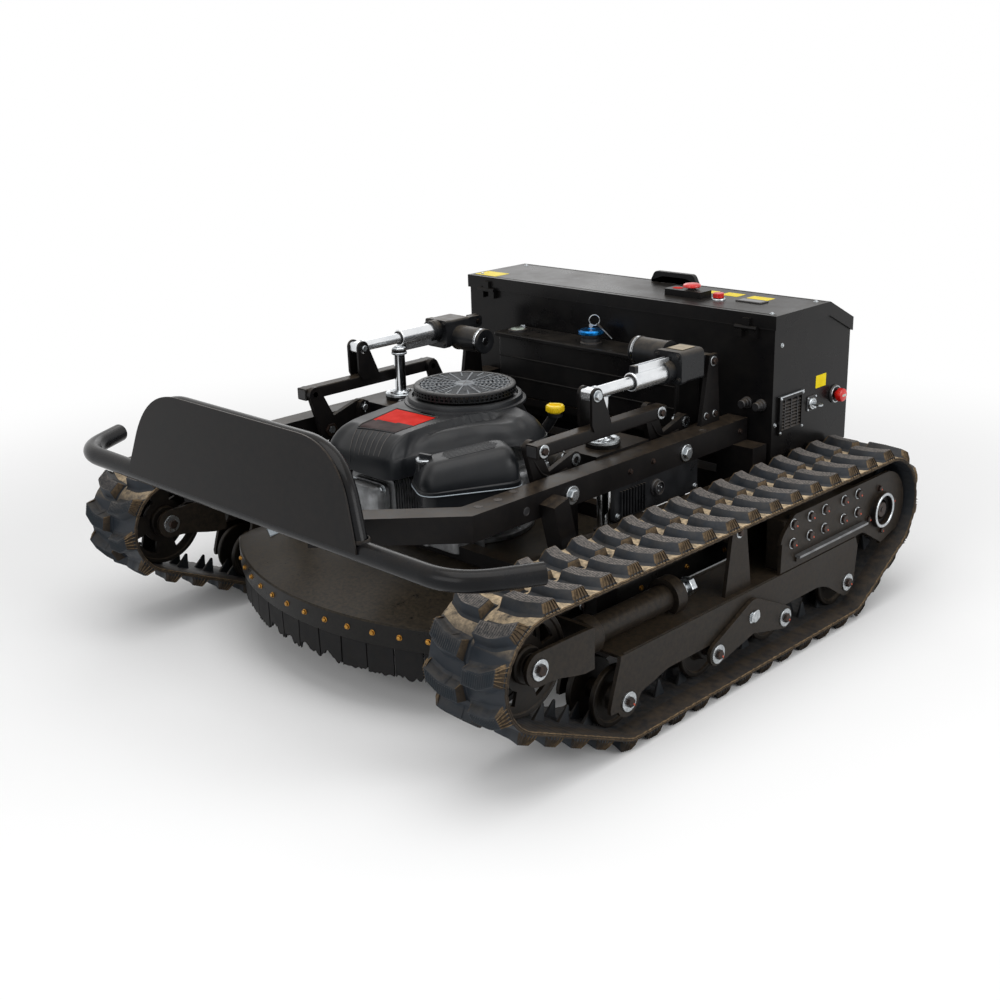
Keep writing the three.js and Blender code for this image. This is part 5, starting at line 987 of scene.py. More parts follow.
# square tube with an open end and a cap welded in the other; the dark plates set in its ends stand for the cap and, at
# the open end, for painted shade of the hollow
addPlate(shape, oblong(-15, -13, 15, 13, 3.4), start, end, alongY(tie["x"], level))
for y in (start, end):
    addPlate(shape, oblong(-12, -10, 12, 10, 2), y - 0.8, y + 0.8, alongY(tie["x"], level), slot=2)
ear = ([(230, level + 6), (278, level + 6), (274, level + 20)] + circle(15.4, tie["pin"], 16, 0.1, pi)
       + [(219, level + 20), (226, level + 6)])
slot = link((tie["pin"][0], 559.5), 7.5, tie["pin"], 7.49, 10)
for low, high in ((13.3, 19.3), (-19.3, -13.3)):
    addPlate(shape, ear, tie["x"] + low, tie["x"] + high, alongX(), [slot])
for y, z in (frontTop, rearTop):
    addRing(shape, 8, 11, -15.2, 15.3, alongX(y, z, tie["x"]), 32, 0)
makePair(shape, "tieBar", "tie_bar", ["coat", "zinc", "blackRubberAndShade"], ["tie_bar"], edge=0.8)

shape = bmesh.new()
pinZ = tie["pin"][1]
addRod(shape, (tie["x"], 244, pinZ), (tie["x"], 386, pinZ), 12, 0, 48, 1)
addPlate(shape, rounded([(222, 554, 8), (246, 554, 3), (246, 578, 3), (222, 578, 8)], 8), -13, 13,
         alongX(0, 0, tie["x"]), slot=0)
addRound(shape, [(11.6, 246), (14, 246), (14, 252), (12, 253), (11.6, 253)], alongY(tie["x"], pinZ), 40, 0)
addRod(shape, (tie["x"] - 26, *tie["pin"]), (tie["x"] + 20, *tie["pin"]), 6.9, 1, 28, 0.8)
addBolt(shape, alongX(*tie["pin"], tie["x"] + 19.4), (12, 1.8, 15, 5.6), (1, 1))
makePair(shape, "actuatorRod", "rod", ["anodised", "zinc"], ["actuator_rod"], edge=0.6)


def makeActuator():
    shape = bmesh.new()
    axis = alongY()
    addRound(shape, [(12.7, 356), (17.6, 356), (19, 357.4), (19, 454), (12.7, 454), (12.7, 356)], axis, 56, 0)
    addRound(shape, [(12.7, 354.4), (15.4, 354.4), (16, 356.6), (12.7, 356.6), (12.7, 354.4)], axis, 40, 1)
    addRound(shape, [(18, 452), (23, 452), (24, 453), (24, 456), (22.8, 457), (22.8, 460), (24, 461), (24, 475),
                     (18, 475), (18, 452)], axis, 48, 1)
    # aluminium channel along the tube's top, with a black end piece
    rib = rounded([(-7, 14, 0), (7, 14, 0), (7, 31, 2.2), (3.2, 31, 1), (3.2, 25, 1), (-3.2, 25, 1), (-3.2, 31, 1),
                   (-7, 31, 2.2)], 3)
    addPlate(shape, rib, 366, 470, standing)
    addPlate(shape, oblong(-7.6, 14, 7.6, 31.6, 0, 4, 2.4), 361, 371, standing, slot=1)
    # gear block, split down its middle, with screws through its corners
    for low, high, inset in ((474, 490, 0), (490.6, 550, 1.2)):
        h = 36 - inset
        addPlate(shape, oblong(-h, -24 + inset, h, 42 - inset, 7, 5, 13), low, high, standing, slot=1)
    addPlate(shape, oblong(-33, -21, 33, 39, 6, 5, 12), 489, 492, standing, slot=1)
    for a, b in ((-28, -16), (28, -16), (-26, 32), (26, 32)):
        addBolt(shape, frontward(a, b, 474), (6.4, 0.8, 8, 3), (1, 1))
    # motor across the block with a turned end ring
    motor = Matrix.Translation((0, 520, 21)) @ Matrix.Rotation(-pi / 2, 4, "Y")
    addRound(shape, [(0, 30), (30, 30), (30, 34), (28.8, 35), (28.8, 104), (30, 105), (30, 110), (29, 111), (29, 117),
                     (27.5, 119), (12, 119), (11, 118.4), (0, 118.4)], motor, 56, 1)
    addRound(shape, [(28.9, 104.6), (30, 105), (30, 111.4), (28.9, 111.8), (28.9, 104.6)], motor, 56, 3)
    addRound(shape, [(0, 118), (9.4, 118), (9, 119), (0, 119)], motor, 32, 3)
    for way in (1, -1):
        addBolt(shape, motor @ alongZ(way * 19, 0, 115.4), (5, 0.6, 6, 2.4), (2, 2))
    addPlate(shape, rounded([(549, -14, 0), (620, -14, 12), (620, 14, 12), (549, 14, 0)], 6), -8, 8, alongX(),
             [circle(6.6, (606, 0), 24)], slot=1)
    # plain tan plate on the block's top
    addPlate(shape, oblong(-20, 498, 18, 541, 2), 41.7, 42.2, alongZ(), slot=4)
    return shape


for side, sign in (("right", 1), ("left", -1)):
    shape = makeActuator()
    turn = Matrix.Rotation(0 if sign > 0 else pi, 4, "Y")
    bmesh.ops.transform(shape, matrix=Matrix.Translation((sign * tie["x"], 0, pinZ)) @ turn, verts=shape.verts)
    makePiece(shape, f"actuatorBody_{side}", "frame", ["anodised", "blackCast", "zinc", "chrome", "beige"],
              [f"actuator_body_{side}"], edge=0.7)

dressNode("deck_carriage", "coat", 1.2)
shape = bmesh.new()
# ground posts over the carriage's own, with a bored nut and washer at the top
addRound(shape, [(0, 257), (12.7, 257), (12.7, 545.4), (11.8, 546.4), (0, 546.4)], postAt, 56, 0)
addRound(shape, [(0, 541), (17, 541), (17.9, 542), (17.9, 545), (17, 546), (0, 546)], postAt, 48, 1)
addBolt(shape, alongZ(guideX, guideY, 545.6), (0, 0.2, 28, 11), (1, 1))
addRound(shape, [(0, 556), (9, 556), (8.6, 559), (5, 559.4), (0, 559.4)], postAt, 32, 1)
addRound(shape, [(12.6, 257.8), (20, 257.8), (20, 262), (18, 264), (12.6, 264), (12.6, 257.8)], postAt, 48, 2)
makePair(shape, "guidePost", "mower_deck", ["chrome", "zinc", "coat"], edge=0.5)
print("lift")


# Mower deck: pressed shell with a folded rim, yellow screws along its front, and slit rubber flaps

deck = {"top": 228, "rim": 190, "low": 144, "arcY": 460, "arcRadius": 678, "arcHalf": 405, "sideHalf": 418, "rear": 640,
        "middleY": 250, "reachX": 275, "reachY": 215, "sheet": 4, "screwZ": 168}


def deckRing(share, z, inset=0.0):
    # share 0 is the rim's outline and 1 that of the plateau under the engine
    spread = math.asin(deck["arcHalf"] / deck["arcRadius"])
    sideFront = deck["arcY"] - deck["arcRadius"] * math.cos(spread) + 44
    side = deck["sideHalf"]
    points = circle(deck["arcRadius"], (0, deck["arcY"]), 44, -pi / 2 - spread, -pi / 2 + spread)
    sides = [(side, sideFront + (deck["rear"] - sideFront) * k / 12) for k in range(12)]
    back = [(side - 2 * side * k / 18, deck["rear"]) for k in range(18)]
    points += sides + back + [(-x, y) for x, y in reversed(sides)]
    ring = []
    for x, y in points:
        turn = math.atan2(y - deck["middleY"], x)
        stretch = 1.1 if y > deck["middleY"] else 1.0
        inner = Vector((deck["reachX"] * math.cos(turn), deck["middleY"] + deck["reachY"] * stretch * math.sin(turn)))
        outer = Vector((x, y))
        point = outer.lerp(inner, min(share, 1)).lerp(Vector((0, crankY)), max(share - 1, 0))
        point -= (point - Vector((0, deck["middleY"]))).normalized() * inset
        ring.append(Vector((point.x, point.y, z)))
    return ring


shape = bmesh.new()
low, high, sheet = deck["low"], deck["top"], deck["sheet"]
rings = [deckRing(*step) for step in ((0, low), (0, 187.4), (0.012, 190.4), (0.3, 201.3), (0.6, 212.7), (0.88, 223.4),
                                      (0.97, 226.8), (1.03, high), (1.8, high), (1.8, high - sheet),
                                      (1, high - sheet), (0.02, 186.4, sheet), (0, 184, sheet), (0, low, sheet))]
addLoft(shape, rings, closed=True)
screws = 13
for number in range(-screws // 2 + 1, screws // 2 + 1):
    turn = number * 0.087
    way = Vector((math.sin(turn), -math.cos(turn), 0))
    at = Vector((0, deck["arcY"], deck["screwZ"])) + way * deck["arcRadius"]
    addBolt(shape, Matrix.Translation(at) @ way.to_track_quat("Z", "Y").to_matrix().to_4x4(), bolts["deck"], (1, 1))
# dark holes in the rim, drawn as black discs of painted shade, a bright plate and a wire handle at its left
for number in (-7, -4, 4, 7):
    turn = number * 0.08
    hole = alongZ(650 * math.sin(turn), deck["arcY"] - 650 * math.cos(turn), deck["rim"])
    addRound(shape, [(0, 0.6), (6, 0.6), (6.6, 1.6), (5.2, 2.0), (4.8, 1.4), (0, 1.4)], hole, 24, 2)
addPlate(shape, rounded([(-379, -28, 3), (-324, -58, 3), (-325, -15, 3), (-371, 8, 3)]), 194, 203, alongZ(), slot=3)
addTube(shape, bentPath([(-280, 21, 199), (-274, 24, 212), (-223, 68, 215), (-176, -22, 213), (-202, -32, 200)], 9),
        2.6, 4, 12)
for sign in (1, -1):
    for y in (150, 300, 450, 580):
        addBolt(shape, outward(sign, y, deck["screwZ"], sign * deck["sideHalf"]), bolts["deck"], (1, 1))
    # stiffening ribs pressed along the shoulders
    ribPath = [Vector(rings[4][k]).lerp(rings[5][k], 0.4) for k in (range(2, 42) if sign > 0 else range(63, 76))]
    addTube(shape, ribPath, 3.2, sides=10)
makePiece(shape, "deckShell", "mower_deck", ["deckCoat", "brassy", "blackRubberAndShade", "greyVinylAndHighlight", "zinc"], ["deck_shell"],
          edge=1.4)

skirt = {"radius": 672.6, "thick": 5, "low": 78, "high": 180, "slit": 140, "pitch": 62, "halfAngle": 0.56}
shape = bmesh.new()
step = skirt["pitch"] / skirt["radius"]
count = int(skirt["halfAngle"] / step)
spread = skirt["halfAngle"]
cuts = [-spread] + [(k + 0.5) * step for k in range(-count, count + 1) if abs((k + 0.5) * step) < spread] + [spread]
band = [(spread * (k / 40 - 0.5) * 2, skirt["slit"] - 0.1) for k in range(41)]
band += [(spread * (0.5 - k / 40) * 2, skirt["high"]) for k in range(41)]
addPlate(shape, [(a * skirt["radius"], z) for a, z in band], 0, skirt["thick"], alongZ())
for start, end in zip(cuts, cuts[1:]):
    low, high = start * skirt["radius"] + 1.4, end * skirt["radius"] - 1.4
    lean = random.uniform(-1.0, 1.0)
    torn = random.choice((0, 0, 0, 9, 16))
    foot = [(low + (high - low) * k / 12, skirt["low"] + random.uniform(0, 5) + 8 * random.random() ** 3
             + torn * max(1 - abs(k - 4) / 4, 0)) for k in range(13)]
    strip = [(low, skirt["slit"])] + foot + [(high, skirt["slit"])]
    addPlate(shape, strip, 0.1, skirt["thick"] - 0.1, alongZ(0, 0, lean * 0.4))
for vert in shape.verts:
    s, z, t = vert.co
    turn, radius = s / skirt["radius"], skirt["radius"] - t - (1.2 * math.sin(s / 23) if z < 130 else 0)
    vert.co = Vector((radius * math.sin(turn), deck["arcY"] - radius * math.cos(turn), z))
makePiece(shape, "deckSkirt", "mower_deck", ["skirtRubber"], ["deck_skirt"], edge=0.5, steps=1)
dressNode("cutter_blade", "blackSteel", 1.0)
print("deck")


# Engine: crankcase, finned barrels with valve covers, intake, muffler and filler tube

def addShell(shape, low, high, soft, slot=0, taper=0.0):
    # a casting with rounded upright corners and a drawn-in top and bottom
    (x0, y0, z0), (x1, y1, z1) = low, high
    def ring(inset, z):
        return [Vector((x, y, z)) for x, y in oblong(x0 + inset, y0 + inset, x1 - inset, y1 - inset, soft, 5)]
    addLoft(shape, [ring(2, z0), ring(0, z0 + 2), ring(taper, z1 - 3), ring(taper + 1, z1 - 1), ring(taper + 3, z1)],
            slot)


shape = bmesh.new()
centre = alongZ(0, crankY)
addRound(shape, [(16.6, 228.2), (138, 228.2), (140, 230), (140, 238), (138, 240), (114, 240), (110, 246), (112, 300),
                 (112, 404), (108, 414), (100, 424), (84, 424), (84, 497), (16.6, 497), (16.6, 228.2)], centre, 72)
for turn in turns(10, 0.16):
    addBolt(shape, alongZ(126 * math.cos(turn), crankY + 126 * math.sin(turn), 240), (9, 1.2, 12, 7), (1, 1))
    addPlate(shape, [(104, -3), (124, -3), (124, 3), (104, 3)], 238, 262, centre @ Matrix.Rotation(turn + 0.3, 4, "Z"))
addShell(shape, (-14, -60, 330), (90, 200, 410), 14)
for number in range(22):
    y = -58 + number * 6.4
    addPlate(shape, oblong(-25, 318, 101, 417, 10, 4, 14), y, y + 2.4, standing)
addPlate(shape, oblong(-12, 332, 88, 408, 16), -70, -61, standing)
addLoft(shape, [[Vector((a, y, b)) for a, b in oblong(-9 + i, 335 + i, 85 - i, 405 - i, 16)]
                for y, i in ((-69, 0), (-79, 1), (-85, 5), (-88, 12))])
for x in (0, 38, 76):
    addRod(shape, (x, -72, 351), (x, -89.6, 351), 2.4)
for a, b in ((-3, 342), (79, 342), (-3, 398), (79, 398)):
    addBolt(shape, frontward(a, b, -70), bolts["cover"], (1, 1))
addShell(shape, (20, 152, 330), (203, 258, 410), 14)
for number in range(18):
    x = 198 - number * 6.4
    addPlate(shape, oblong(139, 318, 271, 417, 10, 4, 14), x - 2.4, x, alongX())
addPlate(shape, oblong(155, 332, 255, 408, 16), 204, 213, alongX())
addLoft(shape, [[Vector((x, a, b)) for a, b in oblong(158 + i, 335 + i, 252 - i, 405 - i, 16)]
                for x, i in ((212, 0), (222, 1), (228, 5), (231, 12))])
for a, b in ((164, 342), (246, 342), (164, 398), (246, 398)):
    addBolt(shape, alongX(a, b, 213), bolts["cover"], (1, 1))
addShell(shape, (161, -17, 322), (231, 53, 392.6), 12)
addShell(shape, (60, 2, 324), (200, 34, 356), 8)
for x, y in ((170, -8), (222, -8), (170, 44), (222, 44)):
    addRod(shape, (x, y, 340), (x, y, 386), 6, 0, 20, 1)
    addBolt(shape, alongZ(x, y, 384), (0, 0, 9, 5), (1, 1))
addRod(shape, (231, 12, 350), (244, 12, 350), 9, 1, 24, 1)
addTube(shape, bentPath([(88, 302, 350), (100, 312, 384), (146, 344, 462), (150, 347, 473.6)], 14), 10.6, 2, 28)
fillerAt = alongZ(150, 347)
addRound(shape, [(10, 466), (15.4, 466), (15.4, 473.6), (10, 473.6)], fillerAt, 32, 2)
addRound(shape, [(0, -150), (36, -150), (44, -146), (48, -138), (48, -92), (46.6, -90), (48, -88), (48, 88),
                 (46.6, 90), (48, 92), (48, 138), (44, 146), (36, 150), (0, 150)], alongX(448, 316), 48, 2)
addTube(shape, bentPath([(0, 300, 316), (0, 380, 316), (0, 448, 316)], 10), 16, 2, 32)
# castings, studs and brackets that show under the rail
for x, y, z in ((-30, 96, 300), (58, 60, 300), (112, 92, 304), (146, 120, 296)):
    addRod(shape, (x, y, 240), (x, y, z), 11, 0, 24, 2)
    addBolt(shape, alongZ(x, y, z), (9, 1.4, 13, 8), (1, 1))
addShell(shape, (-34, 56, 240), (150, 108, 286), 18)
makePiece(shape, "engineBlock", "mower_deck", ["castAluminiumAndHighlight", "zinc", "blackCast"], ["engine_block"], edge=0.5,
          steps=1)


# Cowl: moulded cover with a soft brow, a ring about the screen, a raised panel, a plain plate and a row of grooves

cowl = {"middle": (30, 140), "outline": [(-84, -62), (-40, -80), (40, -88), (108, -87), (126, -66), (129, -36),
                                         (164, 48), (182, 112), (222, 160), (230, 210), (206, 262), (112, 304),
                                         (60, 358), (-20, 368), (-92, 340), (-132, 280), (-138, 200), (-118, 90)],
        "profile": [(1.0, 426), (0.993, 442), (0.985, 459), (0.972, 467), (0.945, 476), (0.91, 485.4), (0.885, 490.5),
                    (0.85, 495.4), (0.81, 499.8), (0.78, 501.8), (0.74, 502.2), (0.0, 502.2)],
        "ridge": [(126, 204), (123, 192), (103, 126), (97, 56), (103, -4), (110, -46), (111, -74)],
        "ridgeHeight": 3.5, "valley": 11, "plate": [(-12, -42), (80, -31), (64, 89), (-49, 86)], "plateSplit": 0.42}


def cowlCurve(share, inset=0.0, steps=6):
    points = [Vector(p) for p in cowl["outline"]]
    count = len(points)
    middle = Vector(cowl["middle"])
    curve = []
    for i in range(count):
        a, b, c, d = (points[(i + k) % count] for k in (-1, 0, 1, 2))
        for k in range(steps):
            t = k / steps
            point = (b * 2 + (c - a) * t + (a * 2 - b * 5 + c * 4 - d) * t * t + (b * 3 - a - c * 3 + d) * t ** 3) / 2
            reach = (point - middle).length
            curve.append(middle + (point - middle) * share * (1 - inset / reach))
    return curve


cowlEdge = []
for p in cowlCurve(1.0, 0, 12):
    off = p - Vector(cowl["middle"])
    cowlEdge.append((math.atan2(off.y, off.x) % (2 * pi), off.length))


def cowlFoot(point):
    # the lower edge steps up over the right-hand barrel
    over = min(max((point.x - 148) / 8, 0), 1) * min(max((point.y - 126) / 8, 0), 1)
    return 426 + 32 * over


def smooth(low, high, value):
    t = min(max((value - low) / (high - low), 0), 1)
    return t * t * (3 - 2 * t)


def ridgeLift(x, y):
    # a rolled ridge from the ring to the front, and the hollow along its right side
    here, best, side = Vector((x, y)), 999, 0
    ridge = [Vector(p) for p in cowl["ridge"]]
    for a, b in zip(ridge, ridge[1:]):
        along = b - a
        t = min(max((here - a).dot(along) / along.length_squared, 0), 1)
        off = here - (a + along * t)
        if off.length < best:
            best, side = off.length, along.x * off.y - along.y * off.x
    away = best if side > 0 else -best
    lift = cowl["ridgeHeight"] * math.exp(-(best / 6) ** 2)
    if away > 0:
        lift += cowl["valley"] * (0.5 * smooth(13, 28, away) - smooth(1, 9, away))
    return lift * smooth(205, 182, y)


def cowlHeight(x, y):
    off = Vector((x, y)) - Vector(cowl["middle"])
    angle = math.atan2(off.y, off.x) % (2 * pi)
    edge = min(cowlEdge, key=lambda item: abs((item[0] - angle + pi) % (2 * pi) - pi))[1]
    share = off.length / edge
    for (s0, z0), (s1, z1) in zip(cowl["profile"], cowl["profile"][1:]):
        if share >= s1:
            z = z1 + (z0 - z1) * (share - s1) / (s0 - s1)
            return z + ridgeLift(x, y) * smooth(0.995, 0.94, share)
    return cowl["profile"][-1][1]


shape = bmesh.new()
rings = []
for share in (1.0, 0.993, 0.985, 0.972, 0.958, 0.945, 0.928, 0.91, 0.897, 0.885, 0.868, 0.85, 0.83, 0.81, 0.795, 0.78,
              0.76, 0.74, 0.72, 0.7, 0.68, 0.66, 0.64, 0.62, 0.6, 0.58, 0.56, 0.54, 0.52, 0.5, 0.46, 0.42, 0.36, 0.3,
              0.2):
    rings.append([Vector((p.x, p.y, cowlFoot(p) if share == 1 else max(cowlHeight(p.x, p.y), cowlFoot(p) + 2)))
                  for p in cowlCurve(share, 0, 12)])
for share, z in ((0.2, 490), (0.72, 490), (0.8, 485), (0.86, 480), (0.93, 466), (0.96, 452), (0.972, None)):
    rings.append([Vector((p.x, p.y, cowlFoot(p) if z is None else max(z, cowlFoot(p) + 2)))
                  for p in cowlCurve(share, 3.4, 12)])
addLoft(shape, rings, closed=True)
# ring about the screen with a second step inside it
addRound(shape, [(22, 500), (121, 500), (120, 512), (118.4, 515), (115, 516), (111, 516), (110, 514), (109.6, 509),
                 (22, 509), (22, 500)], centre, 96)
addRound(shape, [(119, 501), (128, 501), (127, 504.6), (122, 506), (119, 506), (119, 501)], centre, 96)
# straight grooves below the plate, drawn as black lines of painted shade, and the lip of the plate's seat, with a black
# line of painted shadow from the seat's wall along the plate's upper edges
def draped(points, rise, steps=14):
    path = []
    for (x0, y0), (x1, y1) in zip(points, points[1:]):
        for k in range(steps + 1):
            x, y = x0 + (x1 - x0) * k / steps, y0 + (y1 - y0) * k / steps
            path.append(Vector((x, y, cowlHeight(x, y) + rise)))
    return [p for i, p in enumerate(path) if not i or (p - path[i - 1]).length > 0.1]


# grooves: black lines of painted shade
for number in range(7):
    high = (-14 + 15.2 * number, -49 + 1.8 * number)
    low = (2 + 14.2 * number, -84.5 + 0.4 * number)
    addTube(shape, draped([high, low], 0.1), 1.0, 1, 8)
left, low, right, high = cowl["plate"]
# painted shadow of the seat's wall along the plate's upper edges
addTube(shape, draped([(left[0] - 5, left[1] + 1), (high[0] - 3, high[1] + 4), (right[0] + 4, right[1] + 5)], 0.5),
        1.5, 1, 10)
addTube(shape, draped([(left[0] - 4, left[1] - 3), (low[0] + 2, low[1] - 4)], 0.3), 1.5, 0, 10)
for x, y in ((-96, 300), (-120, 150), (60, 334), (196, 226)):
    addRound(shape, [(0, 478), (11, 478), (11, 499), (9, 500.6), (5, 500.6), (4.4, 497), (0, 497)],
             alongZ(x * 0.86 + 4, y * 0.86 + 19), 28)
makePiece(shape, "engineCowl", "mower_deck", ["cowlPlastic", "blackRubberAndShade"], ["engine_cowl"], edge=0)

# plain plate in two colours, laid on the cowl's curve
shape = bmesh.new()
corners = [Vector(p) for p in cowl["plate"]]
grid = []
for row in range(21):
    v = row / 20
    line = []
    for column in range(25):
        u = column / 24
        p = corners[0].lerp(corners[1], u).lerp(corners[3].lerp(corners[2], u), v)
        line.append([shape.verts.new((p.x, p.y, cowlHeight(p.x, p.y) + rise)) for rise in (0.8, 0.2)])
    grid.append(line)
for row in range(20):
    for column in range(24):
        a, b, c, d = grid[row][column], grid[row][column + 1], grid[row + 1][column + 1], grid[row + 1][column]
        slot = 0 if (row + 0.5) / 20 > cowl["plateSplit"] + 0.1 * (column / 24) - 0.05 else 1
        addFaces(shape, [[v[0] for v in (a, b, c, d)], [v[1] for v in (d, c, b, a)]], slot)
for lines in (grid[0], grid[20], [grid[k][0] for k in range(21)],
              [grid[k][24] for k in range(21)]):
    addFaces(shape, [(a[0], b[0], b[1], a[1]) for a, b in zip(lines, lines[1:])], 1)
makePiece(shape, "cowlPlate", "mower_deck", ["redVinyl", "darkVinyl"], edge=0)

# Fan screen: slotted rim, six rings and twelve spokes over a dark disc of painted shade, and a hub with a cross
shape = bmesh.new()
addRing(shape, 101, 107, 519, 521.4, centre, 96)
addRound(shape, [(94, 533), (107, 532), (106.4, 535), (103.6, 536.8), (98, 537), (94, 537), (94, 533)], centre, 96)
for place in spun(centre, 64):
    addPlate(shape, [(102, -2.2), (106.8, -2.2), (106.8, 2.2), (102, 2.2)], 520, 534, place)
addRing(shape, 102.4, 107, 526, 527.8, centre, 96)
for radius in (90, 81, 72, 63, 54, 45, 36, 27):
    addRing(shape, radius - 2.1, radius + 2.1, 531.6, 536.0, centre, 80, 3)
for place in spun(centre, 12, 0.1):
    addPlate(shape, [(18, -1.5), (98, -1.9), (98, 1.9), (18, 1.5)], 531, 537, place, slot=1)
    addPlate(shape, [(62, -1.4), (98, -1.7), (98, 1.7), (62, 1.4)], 531, 537, place @ Matrix.Rotation(pi / 12, 4, "Z"),
             slot=1)
addRound(shape, [(0, 526), (22, 526), (22, 535.8), (20.6, 537), (0, 537)], centre, 56, 1)
for number in range(2):
    turn = centre @ Matrix.Rotation(pi / 2 * number + 0.6, 4, "Z")
    addPlate(shape, [(-14, -1), (14, -1), (14, 1), (-14, 1)], 536.6, 537.25, turn, slot=0)
# the dark disc under the rings is painted shade seen through the slots
addRound(shape, [(0, 455), (12, 455), (12, 522), (101, 522), (101, 524), (0, 524)], centre, 64, 2)
makePiece(shape, "fanScreen", "crankshaft", ["nylon", "nylonWorn", "blackRubberAndShade", "nylonGrey"], ["fan_screen"], edge=0.4,
          steps=1)


# Air filter cover: domed lid on a pan, ribs on its top and a knob at its front

filterAt = Matrix.Translation((230, 10, 0)) @ Matrix.Rotation(-0.52, 4, "Z")
shape = bmesh.new()


def filterRing(inset, z, slope=0.13, soft=36):
    w, l = 56 - inset, 100 - inset
    radius = max(soft - inset * 0.6, 6)
    return [filterAt @ Vector((x, y, z + slope * y)) for x, y in oblong(-w, -l, w, l, radius, 8)]


for steps in (((8, 393, 0), (6, 395, 0), (6, 417, 0), (2, 418.4, 0), (2, 420, 0)),
              ((0.6, 419.6, 0), (0, 421.4, 0), (0, 428, 0.02), (2.4, 430, 0.03)),
              ((3, 428, 0.02), (3.4, 440, 0.07), (5, 452, 0.11), (8.4, 462), (13, 471), (19, 478.6), (26, 483.2),
               (32, 485), (40, 485.6))):
    addLoft(shape, [filterRing(*step) for step in steps])
for number in range(7):
    x = -21 + number * 7
    ends = [Vector((x, y, 485.0 + 0.13 * y)) for y in (-46 + abs(x) * 0.4, 62 - abs(x) * 0.5)]
    addTube(shape, [filterAt @ p for p in ends], 1.5, sides=12)
# light grey line where pan and cover meet, a painted highlight on the lip
seam = filterRing(-0.2, 420.3, 0)
addTube(shape, seam + seam[:1], 1.0, 1, 8)
knobAt = filterAt @ alongZ(-14, -74)
addRound(shape, [(0, 440), (18, 440), (18, 468), (16, 471), (0, 471)], knobAt, 40)
for place in spun(knobAt, 14):
    addPlate(shape, [(15, -1.6), (18.8, -1.6), (18.8, 1.6), (15, 1.6)], 446, 468, place)
addRound(shape, [(0, 470), (17.4, 470), (18.6, 471.4), (18.6, 474), (17, 475), (0, 475)], knobAt, 40, 2)
addPlate(shape, oblong(-14, -3.6, 14, 3.6, 3), 474, 483, knobAt @ Matrix.Rotation(0.7, 4, "Z"))
makePiece(shape, "airFilterCover", "mower_deck", ["cowlPlastic", "greyVinylAndHighlight", "zinc"], ["air_filter_cover"], edge=0.6)

shape = bmesh.new()
addRound(shape, [(0, 474), (13, 474), (13, 477), (18, 477), (18.6, 478), (18.6, 488), (17.6, 490.4), (11, 491),
                 (10, 490), (0, 490)], fillerAt, 56)
for place in spun(fillerAt, 24):
    addPlate(shape, [(18, -1.2), (19.5, -0.8), (19.5, 0.8), (18, 1.2)], 478.4, 488, place)
addPlate(shape, oblong(-13, -2.8, 13, 2.8, 2), 489, 493.6, fillerAt @ Matrix.Rotation(0.4, 4, "Z"))
makePiece(shape, "oilCap", "oil_cap", ["yellowPlastic"], ["oil_cap"], edge=0.4)
print("engine")


# Fuel tank with a folded lip, filler neck, gauge and the blue cap

tank = {"half": 276, "front": 598, "rear": 692, "low": 400, "top": 549, "capX": -8, "gaugeX": -240, "y": 645}
shape = bmesh.new()


def tankRing(out, z, soft):
    x, y0, y1 = tank["half"] - 8 + out, tank["front"] + 8 - out, tank["rear"] + min(out, 0)
    return [Vector((a, b, z)) for a, b in oblong(-x, y0, x, y1, soft)]


addLoft(shape, [tankRing(*step) for step in ((-3, tank["low"], 10), (0, tank["low"] + 3, 10), (0, 539.4, 10),
                                             (7, 540, 8), (8, 541, 8), (8, 547, 8), (7, 548.6, 8), (4, 549.2, 8),
                                             (-6, 549.4, 6), (-8, 548.4, 6), (-20, 548.4, 6))])
for z in (446, 494):
    addTube(shape, [(-262, 605.6, z), (262, 605.6, z)], 2, sides=10)
neck = alongZ(tank["capX"], tank["y"])
addRound(shape, [(0, 548), (25, 548), (25, 551), (22, 553), (22, 561), (0, 561)], neck, 48, 1)
at = alongZ(tank["gaugeX"], tank["y"])
addRound(shape, [(0, 548), (22, 548), (22, 552), (19, 553), (0, 553)], at, 48, 1)
addRound(shape, [(0, 552), (17, 552), (17, 553.4), (12, 554.8), (0, 555)], at, 48, 2)
addRound(shape, [(0, 554.2), (6, 554.2), (5.4, 555), (0, 555)], at, 32, 1)
for x in (-255, 255):
    addBolt(shape, alongZ(x, 680, tank["top"]), (9, 1.2, 11, 4.6), (3, 3))
makePiece(shape, "fuelTank", "frame", ["boxCoat", "blackRubberAndShade", "gauge", "zinc"], ["fuel_tank"], edge=0.8)

shape = bmesh.new()
addRound(shape, [(0, 561.4), (22, 561.4), (22.6, 562.4), (22.6, 569), (21, 570.4), (0, 570.4)], neck, 48, 1)
addRound(shape, [(0, 570), (27.4, 570), (29, 571.4), (29, 577), (27.6, 578.6), (26, 579), (25, 580), (22, 580.4),
                 (11, 580.4), (10, 579.4), (0, 579.4)], neck, 72)
for place in spun(neck, 36):
    addPlate(shape, [(27, -0.9), (29.2, -0.9), (29.2, 0.9), (27, 0.9)], 571.6, 577, place)
